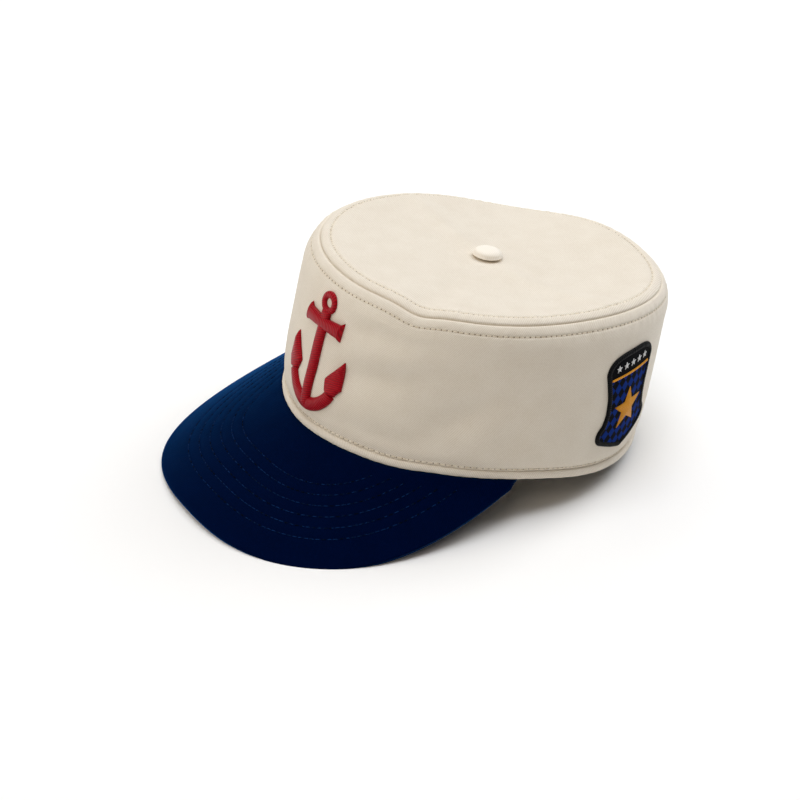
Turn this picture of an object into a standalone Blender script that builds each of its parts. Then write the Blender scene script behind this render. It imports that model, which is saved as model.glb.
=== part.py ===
"""Pillbox cap: a flat-topped cotton cap with a stiff stitched brim, a raised front emblem and a side badge.

The cap is modelled level, front towards -Y and wearer's left towards +X, and is then set down on its
brim and the back of its hem, as it rests by itself. Sizes are in metres.
"""

import math

import bmesh
import bpy
import numpy as np

# Hem line: the outer lower edge of the rolled hem, seen from above
HEM_HALF_WIDTH = 0.0951
HEM_HALF_LENGTH = 0.0944
HEM_SQUARENESS = 1.90
HEM_BACK_FULLNESS = 0.052
HEM_SIDE_RISE = 0.0012
HEM_WANDER = 0.0010

# Rolled hem: a bar of folded cloth round the foot of the wall
HEM_HEIGHT = 0.0060
HEM_THICKNESS = 0.0034
HEM_PROUD = 0.0009

# Top seam: where the wall meets the top panel
SEAM_HALF_WIDTH = 0.0837
SEAM_HALF_LENGTH = 0.0849
SEAM_SQUARENESS = 2.16
SEAM_BACK_FULLNESS = -0.011
SEAM_SHIFT_BACK = 0.0060
SEAM_SIDE_RISE = 0.0009
SEAM_BACK_RISE = 0.0018
SEAM_WANDER = 0.0010
CROWN_HEIGHT = 0.0800

# Wall and top panel
CLOTH_THICKNESS = 0.0016
WALL_BULGE = 0.0034
SHOULDER_RADIUS = 0.0136
SEAM_TILT = math.radians(50)
TOP_SAG = 0.0022
CREASE_HEIGHT = 0.0010
CREASE_HALF_WIDTH = 0.0070
CREASE_STRAIGHT = 0.0300
CREASE_SWEEP = 0.0210
DENT_DEPTH = 0.0030

# Brim
BRIM_HALF_WIDTH = 0.0904
BRIM_ROOT_BACK = 0.0639
BRIM_REACH = 0.0609
BRIM_SQUARENESS = 2.27
BRIM_FLARE = 0.172
BRIM_FRONT_SLOPE = math.radians(28.6)
BRIM_SIDE_SLOPE = math.radians(41.0)
BRIM_THICKNESS = 0.0030
BRIM_ROOT_STEP = 0.0012

# Covered button
BUTTON_RADIUS = 0.0077
BUTTON_HEIGHT = 0.0045
BUTTON_SEAT = 1.25

# Front emblem and side badge
EMBLEM_HEIGHT = 0.0630
EMBLEM_RELIEF = 0.0018
EMBLEM_LIFT = 0.0410
BADGE_WIDTH = 0.0412
BADGE_HEIGHT = 0.0542
BADGE_RELIEF = 0.0013
BADGE_LIFT = 0.0394
BADGE_TURN = math.radians(109.3)
BADGE_LEAN = math.radians(7.4)

# Clearance between touching pieces, and the cloth pressed flat where it rests
GAP = 0.0003
PRESSED_FLAT = 0.0008

# Fineness of the lofts
COLUMNS = 80
BRIM_STATIONS = 48
BUTTON_STEPS = 20
RELIEF_CELL = 0.0060
RELIEF_SNAP = 0.0006
HEM_LINE_POINTS = 720

# Wall profile between the hem line and the shoulder: height share, bulge as a share of WALL_BULGE
WALL_PROFILE = [
    (0.00, 0.00),
    (0.12, 0.42),
    (0.32, 0.86),
    (0.55, 1.00),
    (0.78, 0.93),
    (1.00, 0.60),
]

# Rows of the wall as height shares up to the shoulder, and rows of the top panel as reach shares
WALL_ROWS = [0.16, 0.28, 0.42, 0.56, 0.70, 0.82, 0.92, 1.00]
SHOULDER_STEPS = 4
TOP_ROWS = [0.78, 0.62, 0.44, 0.28]

# Rows of the top panel inside its rounded rim, as shares of the rim's level width
TOP_RIM_ROWS = [0.3, 0.9]

# The rounding of the brim's edge takes at most this share of the brim's span, near the roots
EDGE_SHARE = 0.4

# Soft unevenness of the hem line: turn from the front towards the wearer's left in degrees, half
# width in degrees, rise as a share of HEM_WANDER
HEM_SHAPE = [
    (45, 16, -0.7),
    (80, 11, 0.3),
    (115, 18, -1.5),
]

# Soft unevenness of the seam line: turn and half width in degrees, then how far it swells out and
# rises, as shares of SEAM_WANDER. The first two rows make the corner where the seam is pinched.
SEAM_SHAPE = [
    (18, 8, -0.5, 0.6),
    (32, 5, 0.4, -2.0),
    (75, 20, -0.4, 0.0),
    (120, 22, 1.7, 1.7),
    (155, 22, 1.0, -0.3),
    (190, 22, 1.4, 3.3),
    (225, 25, -0.4, -5.9),
    (300, 30, -0.2, 0.9),
]

# Dents in the wall: turn from the front towards the wearer's left in degrees, height share, half
# length and half height as shares of CROWN_HEIGHT, depth as a share of DENT_DEPTH, slant in degrees
DENTS = [
    (22, 0.79, 0.22, 0.05, 0.5, 8),
    (26, 0.51, 0.22, 0.07, 0.9, 12),
    (54, 0.38, 0.17, 0.07, 0.7, 28),
    (70, 0.29, 0.08, 0.10, 0.5, 60),
    (33, 0.17, 0.35, 0.06, 0.4, 3),
    (205, 0.45, 0.35, 0.14, 0.7, -20),
    (300, 0.42, 0.30, 0.12, 0.6, 15),
]


def superellipse(turn, half_width, half_length, squareness):
    """Plan points of a squared oval. A turn of 0 is the front, and a quarter turn the wearer's left."""
    across = np.sin(turn)
    along = -np.cos(turn)
    power = 2 / squareness
    x = half_width * np.sign(across) * np.abs(across) ** power
    y = half_length * np.sign(along) * np.abs(along) ** power
    return x, y


def swell(turn, degrees, half_width):
    """Smooth swelling of height 1 round one turn."""
    away = np.angle(np.exp(1j * (turn - math.radians(degrees))))
    return np.exp(-((away / math.radians(half_width)) ** 2) / 2)


def hem_line(turn):
    """Outer lower edge of the hem."""
    x, y = superellipse(turn, HEM_HALF_WIDTH, HEM_HALF_LENGTH, HEM_SQUARENESS)
    x = x * (1 - HEM_BACK_FULLNESS * np.cos(turn))
    z = -HEM_SIDE_RISE * np.cos(2 * turn)
    for degrees, half_width, rise in HEM_SHAPE:
        z = z + swell(turn, degrees, half_width) * rise * HEM_WANDER
    return np.stack([x, y, z], axis=-1)


def seam_line(turn):
    """Seam between the wall and the top panel."""
    x, y = superellipse(turn, SEAM_HALF_WIDTH, SEAM_HALF_LENGTH, SEAM_SQUARENESS)
    x = x * (1 - SEAM_BACK_FULLNESS * np.cos(turn))
    z = CROWN_HEIGHT - SEAM_SIDE_RISE * np.cos(2 * turn) - SEAM_BACK_RISE * np.cos(turn)
    for degrees, half_width, out, rise in SEAM_SHAPE:
        size = swell(turn, degrees, half_width) * SEAM_WANDER
        x = x + size * out * np.sin(turn)
        y = y - size * out * np.cos(turn)
        z = z + size * rise
    return np.stack([x, y + SEAM_SHIFT_BACK, z], axis=-1)


def outward(turn):
    """Level unit vector out of the wall, halfway up."""
    step = 0.01
    ahead = hem_line(turn + step) + seam_line(turn + step)
    behind = hem_line(turn - step) + seam_line(turn - step)
    along = ahead - behind
    normal = np.stack([along[..., 1], -along[..., 0], np.zeros_like(turn)], axis=-1)
    return normal / np.linalg.norm(normal, axis=-1, keepdims=True)


def smooth_table(table, share):
    """Value at a share, on a smooth curve through the rows of a two-column table."""
    shares = np.array([row[0] for row in table])
    values = np.array([row[1] for row in table])
    slopes = np.gradient(values, shares)
    share = np.clip(share, shares[0], shares[-1])
    i = np.clip(np.searchsorted(shares, share, side="right") - 1, 0, len(shares) - 2)
    width = shares[i + 1] - shares[i]
    t = (share - shares[i]) / width
    blend = t * t * (3 - 2 * t)
    lead = t * (1 - t) ** 2 * width * slopes[i]
    trail = t * t * (t - 1) * width * slopes[i + 1]
    return values[i] * (1 - blend) + values[i + 1] * blend + lead + trail


def shoulder_depth():
    return SHOULDER_RADIUS * math.sin(SEAM_TILT)


def shoulder_share():
    """Height share at which the wall turns into the rounded shoulder."""
    return 1 - shoulder_depth() / CROWN_HEIGHT


def wall_fullness(height):
    """How far the wall stands out of the straight line from hem to seam."""
    start = shoulder_share()
    shoulder_out = SHOULDER_RADIUS * (1 - math.cos(SEAM_TILT))
    profile = smooth_table(WALL_PROFILE, height / start)
    last = WALL_PROFILE[-1][1]
    below = profile * WALL_BULGE + (shoulder_out - last * WALL_BULGE) * (height / start) ** 4
    depth = np.clip((1 - height) * CROWN_HEIGHT, 0, shoulder_depth())
    rise = math.sin(SEAM_TILT) - depth / SHOULDER_RADIUS
    arc = SHOULDER_RADIUS * (np.sqrt(1 - rise * rise) - math.cos(SEAM_TILT))
    return np.where(height < start, below, arc)


def dent_depth(turn, height):
    """Depth of all dents at a place on the wall."""
    total = np.zeros(np.broadcast(turn, height).shape)
    mean_radius = (HEM_HALF_WIDTH + SEAM_HALF_WIDTH) / 2
    for centre, rise, half_length, half_height, depth, slant in DENTS:
        away = np.angle(np.exp(1j * (turn - math.radians(centre))))
        along = away * mean_radius / CROWN_HEIGHT
        up = height - rise
        lean = math.radians(slant)
        a = (along * math.cos(lean) + up * math.sin(lean)) / half_length
        b = (up * math.cos(lean) - along * math.sin(lean)) / half_height
        total = total + depth * DENT_DEPTH * np.exp(-(a * a + b * b) / 2)
    return total


def wall(turn, height):
    """Outer face of the wall at a turn and a height share from the hem line to the seam."""
    turn, height = np.broadcast_arrays(turn, height)
    share = height[..., None]
    line = hem_line(turn) * (1 - share) + seam_line(turn) * share
    fullness = wall_fullness(height) - HEM_PROUD * (1 - height)
    edge_fade = np.clip((1 - height) * 6, 0, 1) * np.clip(height * 6, 0, 1)
    return line + outward(turn) * (fullness - dent_depth(turn, height) * edge_fade)[..., None]


def crease_line(x):
    """How far back of the button the crease of the top lies: straight, then swept to the wearer's left."""
    beyond = np.clip(x - CREASE_STRAIGHT, 0, None) / (SEAM_HALF_WIDTH - CREASE_STRAIGHT)
    return CREASE_SWEEP * beyond**1.2


def top(turn, reach):
    """Outer face of the top panel at a turn and a reach share from the button to the seam."""
    turn, reach = np.broadcast_arrays(turn, reach)
    seam = seam_line(turn)
    from_middle = seam[..., :2] - np.array([0, SEAM_SHIFT_BACK])
    plan = from_middle * reach[..., None]
    inward = np.linalg.norm(from_middle, axis=-1) * (1 - reach)
    arc_reach = SHOULDER_RADIUS * math.cos(SEAM_TILT)
    lean = math.cos(SEAM_TILT) - np.clip(inward, 0, arc_reach) / SHOULDER_RADIUS
    drop = SHOULDER_RADIUS * (1 - np.sqrt(1 - lean * lean))
    rim_z = seam[..., 2] + SHOULDER_RADIUS * (1 - math.sin(SEAM_TILT))
    middle_z = CROWN_HEIGHT - TOP_SAG
    z = middle_z + (rim_z - middle_z) * reach**2 - drop
    clear = np.clip(np.linalg.norm(plan, axis=-1) / (BUTTON_SEAT * BUTTON_RADIUS) - 1, 0, 1)
    edge = np.clip((1 - reach) * 6, 0, 1)
    ridge = np.exp(-(((plan[..., 1] - crease_line(plan[..., 0])) / CREASE_HALF_WIDTH) ** 2))
    z = z + CREASE_HEIGHT * ridge * clear * edge
    return np.stack([plan[..., 0], plan[..., 1] + SEAM_SHIFT_BACK, z], axis=-1)


def normal_of(surface, turn, share, step=0.002):
    """Unit normal of wall or top, out of the cap."""
    low = np.clip(share - step, 0, 1)
    high = np.clip(share + step, 0, 1)
    around = surface(turn + step, share) - surface(turn - step, share)
    upward = surface(turn, high) - surface(turn, low)
    normal = np.cross(around, upward)
    return normal / np.linalg.norm(normal, axis=-1, keepdims=True)


def loft(name, sections, closed_around, capped=False):
    """Solid lofted through closed sections, which are rings of points in order."""
    mesh = bpy.data.meshes.new(name)
    shape = bmesh.new()
    rings = []
    for section in sections:
        rings.append([shape.verts.new(point) for point in section])
    count = len(rings)
    last = count if closed_around else count - 1
    for i in range(last):
        here = rings[i]
        there = rings[(i + 1) % count]
        for j in range(len(here)):
            k = (j + 1) % len(here)
            shape.faces.new([here[j], there[j], there[k], here[k]])
    if capped:
        shape.faces.new(rings[0])
        shape.faces.new(reversed(rings[-1]))
    bmesh.ops.remove_doubles(shape, verts=shape.verts, dist=1e-6)
    bmesh.ops.recalc_face_normals(shape, faces=shape.faces)
    shape.to_mesh(mesh)
    shape.free()
    return bpy.data.objects.new(name, mesh)


def seam_edges():
    """Turns of the columns, with the seam's point, normal and upward tangent at each."""
    turns = np.linspace(0, 2 * math.pi, COLUMNS, endpoint=False)
    ones = np.ones_like(turns)
    normals = normal_of(wall, turns, ones) - normal_of(top, turns, ones)
    normals = normals / np.linalg.norm(normals, axis=-1, keepdims=True)
    seam = seam_line(turns)
    around = seam_line(turns + 0.002) - seam_line(turns - 0.002)
    upward = np.cross(normals, around)
    upward = upward / np.linalg.norm(upward, axis=-1, keepdims=True)
    return turns, seam, normals, upward


def make_side_wall():
    """Wall of the crown, from the top of the hem to the seam."""
    turns, seam, seam_normals, upward = seam_edges()
    start = (HEM_HEIGHT + GAP) / CROWN_HEIGHT
    below = [start] + [share * shoulder_share() for share in WALL_ROWS]
    tilts = [SEAM_TILT * step / SHOULDER_STEPS for step in range(1, SHOULDER_STEPS)]
    bend = [1 - SHOULDER_RADIUS * (math.sin(SEAM_TILT) - math.sin(tilt)) / CROWN_HEIGHT for tilt in tilts]
    rows = below + bend
    outer = [wall(turns, np.full_like(turns, row)) for row in rows]
    inner = []
    for row, points in zip(rows, outer):
        inner.append(points - CLOTH_THICKNESS * normal_of(wall, turns, np.full_like(turns, row)))
    outer.append(seam - upward * GAP / 2)
    inner.append(outer[-1] - CLOTH_THICKNESS * seam_normals)
    # the inner face bends less, so every second row below the shoulder is enough there
    kept = inner[:1] + inner[2:8:2] + inner[8:]
    ring = outer + kept[::-1]
    sections = np.stack(ring, axis=1)
    return loft("side_wall", sections, closed_around=True)


def make_top_panel():
    """Round panel that closes the crown."""
    turns, seam, seam_normals, upward = seam_edges()
    from_middle = seam[:, :2] - np.array([0, SEAM_SHIFT_BACK])
    reach_length = np.linalg.norm(from_middle, axis=-1)
    outer = [seam + upward * GAP / 2]
    inner = [outer[0] - CLOTH_THICKNESS * seam_normals]
    arc_length = SHOULDER_RADIUS * math.cos(SEAM_TILT)
    rows = [1 - arc_length * share / reach_length for share in TOP_RIM_ROWS]
    rows = rows + [np.full_like(turns, row) for row in TOP_ROWS]
    rows.append(BUTTON_SEAT * BUTTON_RADIUS / reach_length)
    for row in rows:
        points = top(turns, row)
        outer.append(points)
        inner.append(points + CLOTH_THICKNESS * normal_of(top, turns, row))
    middle = top(turns, np.zeros_like(turns))
    outer.append(middle)
    inner.append(middle - np.array([0, 0, CLOTH_THICKNESS]))
    kept = inner[:2] + inner[3:]
    ring = outer[::-1] + kept
    sections = np.stack(ring, axis=1)
    return loft_disc("top_panel", sections)


def loft_disc(name, sections):
    """Solid lofted round an axis through open sections that start and end on the axis."""
    mesh = bpy.data.meshes.new(name)
    shape = bmesh.new()
    first = shape.verts.new(sections[0][0])
    final = shape.verts.new(sections[0][-1])
    spokes = []
    for section in sections:
        spokes.append([shape.verts.new(point) for point in section[1:-1]])
    for i, here in enumerate(spokes):
        there = spokes[(i + 1) % len(spokes)]
        shape.faces.new([first, here[0], there[0]])
        shape.faces.new([final, there[-1], here[-1]])
        for j in range(len(here) - 1):
            shape.faces.new([here[j], here[j + 1], there[j + 1], there[j]])
    bmesh.ops.recalc_face_normals(shape, faces=shape.faces)
    shape.to_mesh(mesh)
    shape.free()
    return bpy.data.objects.new(name, mesh)


# Hem section: out from the hem line as a share of HEM_THICKNESS, up as a share of HEM_HEIGHT
HEM_SECTION = [
    (-1.00, 0.15),
    (-0.80, 0.00),
    (-0.22, 0.00),
    (0.00, 0.20),
    (0.02, 0.72),
    (-0.18, 1.00),
    (-0.84, 1.00),
    (-1.00, 0.85),
]

# Rows of the brim from the hem line to the edge, as shares of the span between them
BRIM_TOP_ROWS = [0.00, 0.12, 0.30, 0.50, 0.70, 0.87]
BRIM_UNDER_ROWS = [0.80, 0.50, 0.22, 0.00]


def hem_point(turn, out, up):
    """Point of the hem's bar, out from the hem line and up along the wall's lean."""
    foot = hem_line(turn)
    lean = (seam_line(turn) - foot) * (up / CROWN_HEIGHT)
    return foot + lean + outward(turn) * out


def make_hem():
    """Rolled hem, a closed ring under the wall."""
    turns = np.linspace(0, 2 * math.pi, COLUMNS, endpoint=False)
    ring = [hem_point(turns, out * HEM_THICKNESS, up * HEM_HEIGHT) for out, up in HEM_SECTION]
    return loft("rolled_hem", np.stack(ring, axis=1), closed_around=True)


def brim_height(points):
    """Height of the brim's upper face: level under the hem, falling away as a cone outside it."""
    turns = np.linspace(0, 2 * math.pi, HEM_LINE_POINTS, endpoint=False)
    line = hem_line(turns)
    flat = points.reshape(-1, 2)
    gaps = np.linalg.norm(flat[:, None, :] - line[None, :, :2], axis=-1)
    nearest = gaps.argmin(axis=1)
    foot = line[nearest]
    away = np.sum((flat - foot[:, :2]) * outward(turns[nearest])[:, :2], axis=-1)
    sideways = np.sin(turns[nearest]) ** 2
    slope = BRIM_FRONT_SLOPE + (BRIM_SIDE_SLOPE - BRIM_FRONT_SLOPE) * sideways
    z = foot[:, 2] - GAP - np.tan(slope) * np.maximum(away, 0)
    return z.reshape(points.shape[:-1])


def brim_face(points):
    """Upper face of the brim over plan points, with its upward normals."""
    step = 0.0004
    z = brim_height(points)
    slope_x = (brim_height(points + [step, 0]) - brim_height(points - [step, 0])) / (2 * step)
    slope_y = (brim_height(points + [0, step]) - brim_height(points - [0, step])) / (2 * step)
    normal = np.stack([-slope_x, -slope_y, np.ones_like(z)], axis=-1)
    normal = normal / np.linalg.norm(normal, axis=-1, keepdims=True)
    return np.concatenate([points, z[..., None]], axis=-1), normal


def brim_outline(share):
    """Plan line of the brim's edge. Share runs from -1 at one root, over 0 at the tip, to 1."""
    root_y = -HEM_HALF_LENGTH + BRIM_ROOT_BACK
    length = BRIM_ROOT_BACK + BRIM_REACH
    x, y = superellipse(share * math.pi / 2, BRIM_HALF_WIDTH, length, BRIM_SQUARENESS)
    x = x * (1 - BRIM_FLARE * y / length)
    return np.stack([x, root_y + y], axis=-1)


def brim_root_turn():
    """Turn at which the hem line reaches back as far as the brim's root."""
    along = (HEM_HALF_LENGTH - BRIM_ROOT_BACK) / HEM_HALF_LENGTH
    return math.acos(along ** (HEM_SQUARENESS / 2))


def make_brim():
    """Stiff brim, sewn under the front half of the hem."""
    share = np.sin(np.linspace(-1, 1, BRIM_STATIONS + 1) * math.pi / 2)
    turns = share * brim_root_turn()
    line = hem_line(turns)[:, :2]
    out = outward(turns)[:, :2]
    edge = brim_outline(share)
    beyond = np.sum((edge - line) * out, axis=-1)
    edge = edge + out * np.maximum(BRIM_ROOT_STEP - beyond, 0)[:, None]
    span = np.linalg.norm(edge - line, axis=-1)
    across = (edge - line) / span[:, None]
    half = BRIM_THICKNESS / 2
    rounding = np.minimum(half, span * EDGE_SHARE)[:, None]

    root = line - out * HEM_THICKNESS
    upper = [root] + [line + (edge - line) * row for row in BRIM_TOP_ROWS] + [edge - across * rounding]
    under = [edge - across * rounding] + [line + (edge - line) * row for row in BRIM_UNDER_ROWS] + [root]
    ring = []
    for points in upper:
        face, normal = brim_face(points)
        ring.append(face)
    face, normal = brim_face(edge)
    ring.append(face - normal * half)
    for points in under:
        face, normal = brim_face(points)
        ring.append(face - normal * BRIM_THICKNESS)
    return loft("brim", np.stack(ring, axis=1), closed_around=False, capped=True)


def make_button():
    """Domed button covered in the crown's cloth, turned from its profile."""
    profile = [
        (0.00, 1.00),
        (0.35, 0.96),
        (0.68, 0.80),
        (0.90, 0.54),
        (1.00, 0.28),
        (0.94, 0.08),
        (0.80, 0.00),
        (0.00, 0.00),
    ]
    mesh = bpy.data.meshes.new("top_button")
    points = [(out * BUTTON_RADIUS, 0, up * BUTTON_HEIGHT) for out, up in profile]
    edges = [(i, i + 1) for i in range(len(points) - 1)]
    mesh.from_pydata(points, edges, [])
    button = bpy.data.objects.new("top_button", mesh)
    turned = button.modifiers.new("turned", "SCREW")
    turned.axis = "Z"
    turned.steps = BUTTON_STEPS
    turned.render_steps = BUTTON_STEPS
    turned.use_merge_vertices = True
    turned.merge_threshold = 1e-5
    seat = top(np.array(0.0), np.array(0.0))
    button.location = (seat[0], seat[1], seat[2] + GAP)
    return button


def anchor_outline():
    """Right half of a plain anchor, from its top down, as shares of the emblem's height."""
    points = []
    for degrees in range(0, 151, 25):
        angle = math.radians(degrees)
        points.append((0.090 * math.sin(angle), 0.410 + 0.090 * math.cos(angle)))
    points += [(0.050, 0.290), (0.200, 0.300), (0.235, 0.325), (0.235, 0.170), (0.200, 0.190), (0.050, 0.195)]
    points += [(0.058, -0.330)]
    for degrees in (22, 40, 58):
        angle = math.radians(degrees)
        points.append((0.270 * math.sin(angle), -0.115 - 0.270 * math.cos(angle)))
    points += [(0.190, -0.150), (0.345, 0.030), (0.395, -0.205)]
    for degrees in (66, 48, 32, 16):
        angle = math.radians(degrees)
        points.append((0.385 * math.sin(angle), -0.115 - 0.385 * math.cos(angle)))
    points.append((0.0, -0.500))
    return points


def crest_outline():
    """Right half of a plain crest, as shares of the badge's half width and half height."""
    points = []
    for degrees in (0, 15, 35, 55, 80):
        x, y = superellipse(math.radians(degrees), 0.89, 0.45, 3.0)
        points.append((x, 0.55 - y))
    points += [(0.84, 0.50), (0.77, 0.18), (0.77, -0.12), (0.84, -0.33)]
    for degrees in (35, 0, -35, -70):
        angle = math.radians(degrees)
        points.append((0.80 + 0.20 * math.cos(angle), -0.55 + 0.20 * math.sin(angle)))
    points += [(0.38, -0.90), (0.0, -1.0)]
    return points


def mirrored(points):
    """Whole outline from its right half."""
    left = [(-x, y) for x, y in reversed(points) if x > 0]
    return points + left


def flat_shape(name, outlines):
    """Flat filled mesh inside the first outline and outside the others, cut into small cells.

    A corner within RELIEF_SNAP of a cut counts as on it, so that no sliver is left beside it.
    """
    curve = bpy.data.curves.new(name, "CURVE")
    curve.dimensions = "2D"
    curve.fill_mode = "BOTH"
    for outline in outlines:
        spline = curve.splines.new("POLY")
        spline.points.add(len(outline) - 1)
        for point, (x, y) in zip(spline.points, outline):
            point.co = (x, y, 0, 1)
        spline.use_cyclic_u = True
    drawn = bpy.data.objects.new(name, curve)
    bpy.context.scene.collection.objects.link(drawn)
    graph = bpy.context.evaluated_depsgraph_get()
    mesh = bpy.data.meshes.new_from_object(drawn.evaluated_get(graph))
    bpy.data.objects.remove(drawn)
    shape = bmesh.new()
    shape.from_mesh(mesh)
    bmesh.ops.remove_doubles(shape, verts=shape.verts, dist=1e-6)
    bmesh.ops.dissolve_limit(shape, angle_limit=0.01, verts=shape.verts, edges=shape.edges)
    for axis in (0, 1):
        extent = max(abs(vert.co[axis]) for vert in shape.verts)
        lines = int(extent / RELIEF_CELL)
        direction = [0, 0, 0]
        direction[axis] = 1
        for line in range(-lines, lines + 1):
            place = [0, 0, 0]
            place[axis] = line * RELIEF_CELL
            everything = list(shape.verts) + list(shape.edges) + list(shape.faces)
            bmesh.ops.bisect_plane(shape, geom=everything, dist=RELIEF_SNAP, plane_co=place, plane_no=direction)
    bmesh.ops.triangulate(shape, faces=shape.faces)
    shape.to_mesh(mesh)
    shape.free()
    return mesh


def sewn_on_wall(name, outlines, turn, lift, lean, relief):
    """Solid with this outline, lying on the wall round a place, its back following the cloth."""
    mesh = flat_shape(name, outlines)
    shape = bmesh.new()
    shape.from_mesh(mesh)
    column = seam_line(np.array(turn)) - hem_line(np.array(turn))
    height = lift / np.linalg.norm(column)
    step = 0.01
    ahead = wall(np.array(turn + step), np.array(height))
    behind = wall(np.array(turn - step), np.array(height))
    speed = np.linalg.norm(ahead - behind) / (2 * step)
    flat = np.array([vert.co[:2] for vert in shape.verts])
    x = flat[:, 0] * math.cos(lean) - flat[:, 1] * math.sin(lean)
    y = flat[:, 0] * math.sin(lean) + flat[:, 1] * math.cos(lean)
    turns = turn + x / speed
    heights = height + y / np.linalg.norm(column)
    face = wall(turns, heights)
    normal = normal_of(wall, turns, heights)
    extruded = bmesh.ops.extrude_face_region(shape, geom=list(shape.faces), use_keep_orig=True)
    raised = [item for item in extruded["geom"] if isinstance(item, bmesh.types.BMVert)]
    shape.verts.ensure_lookup_table()
    for i in range(len(face)):
        shape.verts[i].co = face[i] + normal[i] * GAP
    order = {tuple(round(c, 7) for c in flat[i]): i for i in range(len(face))}
    for vert in raised:
        i = order[tuple(round(c, 7) for c in vert.co[:2])]
        vert.co = face[i] + normal[i] * (GAP + relief)
    bmesh.ops.recalc_face_normals(shape, faces=shape.faces)
    shape.to_mesh(mesh)
    shape.free()
    return bpy.data.objects.new(name, mesh)


def make_emblem():
    """Raised embroidered anchor on the front of the wall."""
    body = [(x * EMBLEM_HEIGHT, y * EMBLEM_HEIGHT) for x, y in mirrored(anchor_outline())]
    eye = []
    for degrees in range(0, 360, 45):
        angle = math.radians(degrees)
        eye.append((0.036 * EMBLEM_HEIGHT * math.cos(angle), (0.412 + 0.036 * math.sin(angle)) * EMBLEM_HEIGHT))
    return sewn_on_wall("front_emblem", [body, eye], 0.0, EMBLEM_LIFT, 0.0, EMBLEM_RELIEF)


def make_badge():
    """Sewn crest badge on the wearer's left."""
    half = [(x * BADGE_WIDTH / 2, y * BADGE_HEIGHT / 2) for x, y in crest_outline()]
    return sewn_on_wall("side_badge", [mirrored(half)], BADGE_TURN, BADGE_LIFT, BADGE_LEAN, BADGE_RELIEF)


def linear(level):
    """Linear light of one sRGB channel."""
    return level / 12.92 if level <= 0.04045 else ((level + 0.055) / 1.055) ** 2.4


def cloth(name, colour, roughness):
    """Plain cloth finish from an sRGB hex colour."""
    material = bpy.data.materials.new(name)
    material.use_nodes = True
    shader = material.node_tree.nodes["Principled BSDF"]
    channels = [linear(int(colour[i : i + 2], 16) / 255) for i in (1, 3, 5)]
    shader.inputs["Base Color"].default_value = (*channels, 1)
    shader.inputs["Roughness"].default_value = roughness
    shader.inputs["Metallic"].default_value = 0
    return material


def corners(piece):
    """Corner points of a piece in the cap's own level frame."""
    graph = bpy.context.evaluated_depsgraph_get()
    mesh = piece.evaluated_get(graph).to_mesh()
    points = np.array([piece.matrix_local @ vert.co for vert in mesh.vertices])
    piece.evaluated_get(graph).to_mesh_clear()
    return points


def tipped_back(points, pitch):
    """Points after the front has been raised by the pitch."""
    y = points[:, 1] * math.cos(pitch) + points[:, 2] * math.sin(pitch)
    z = points[:, 2] * math.cos(pitch) - points[:, 1] * math.sin(pitch)
    return np.stack([points[:, 0], y, z], axis=-1)


def rest_pitch(hem, brim):
    """Pitch at which the brim's edge and the pressed back of the hem stand on one level."""
    low = 0.0
    high = math.radians(45)
    for _ in range(40):
        middle = (low + high) / 2
        hem_foot = tipped_back(hem, middle)[:, 2].min() + PRESSED_FLAT
        if tipped_back(brim, middle)[:, 2].min() < hem_foot:
            low = middle
        else:
            high = middle
    return (low + high) / 2


def press_flat(piece, frame):
    """Presses the lowest cloth of a piece flat on the surface that it rests on."""
    to_world = frame.matrix_world
    to_level = to_world.inverted()
    for vert in piece.data.vertices:
        place = to_world @ vert.co
        if place.z < 0:
            place.z = 0
            vert.co = to_level @ place


def main():
    for old in list(bpy.data.objects):
        bpy.data.objects.remove(old)
    collection = bpy.data.collections.new("pillbox_cap")
    bpy.context.scene.collection.children.link(collection)

    cream = cloth("cream_twill", "#EDE6DA", 0.85)
    navy = cloth("navy_twill", "#0A1B3C", 0.70)
    red = cloth("red_embroidery", "#9E0A1C", 0.45)
    badge_black = cloth("badge_cloth", "#0E0F14", 0.60)
    finishes = {
        "side_wall": cream,
        "top_panel": cream,
        "rolled_hem": cream,
        "top_button": cream,
        "brim": navy,
        "front_emblem": red,
        "side_badge": badge_black,
    }
    makers = [make_side_wall, make_top_panel, make_hem, make_brim, make_button, make_emblem, make_badge]
    pieces = {}
    for make in makers:
        piece = make()
        pieces[piece.name] = piece
        piece.data.materials.append(finishes[piece.name])
        piece.data.shade_smooth()
        piece.data.set_sharp_from_angle(angle=math.radians(50))
        collection.objects.link(piece)

    bpy.context.view_layer.update()
    points = {name: corners(piece) for name, piece in pieces.items()}
    pitch = rest_pitch(points["rolled_hem"], points["brim"])
    placed = tipped_back(np.concatenate(list(points.values())), pitch)
    frame = bpy.data.objects.new("cap_at_rest", None)
    collection.objects.link(frame)
    frame.rotation_euler = (-pitch, 0, 0)
    middle = (placed.min(axis=0) + placed.max(axis=0)) / 2
    frame.location = (0, -middle[1], -tipped_back(points["brim"], pitch)[:, 2].min())
    for piece in pieces.values():
        piece.parent = frame
    bpy.context.view_layer.update()
    press_flat(pieces["rolled_hem"], frame)


main()
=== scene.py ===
"""Looks of the pillbox cap: cream cotton twill, a stitched navy brim and embroidered trimmings."""

import math

import bmesh
import bpy
import numpy as np
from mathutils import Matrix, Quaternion, Vector


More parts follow.
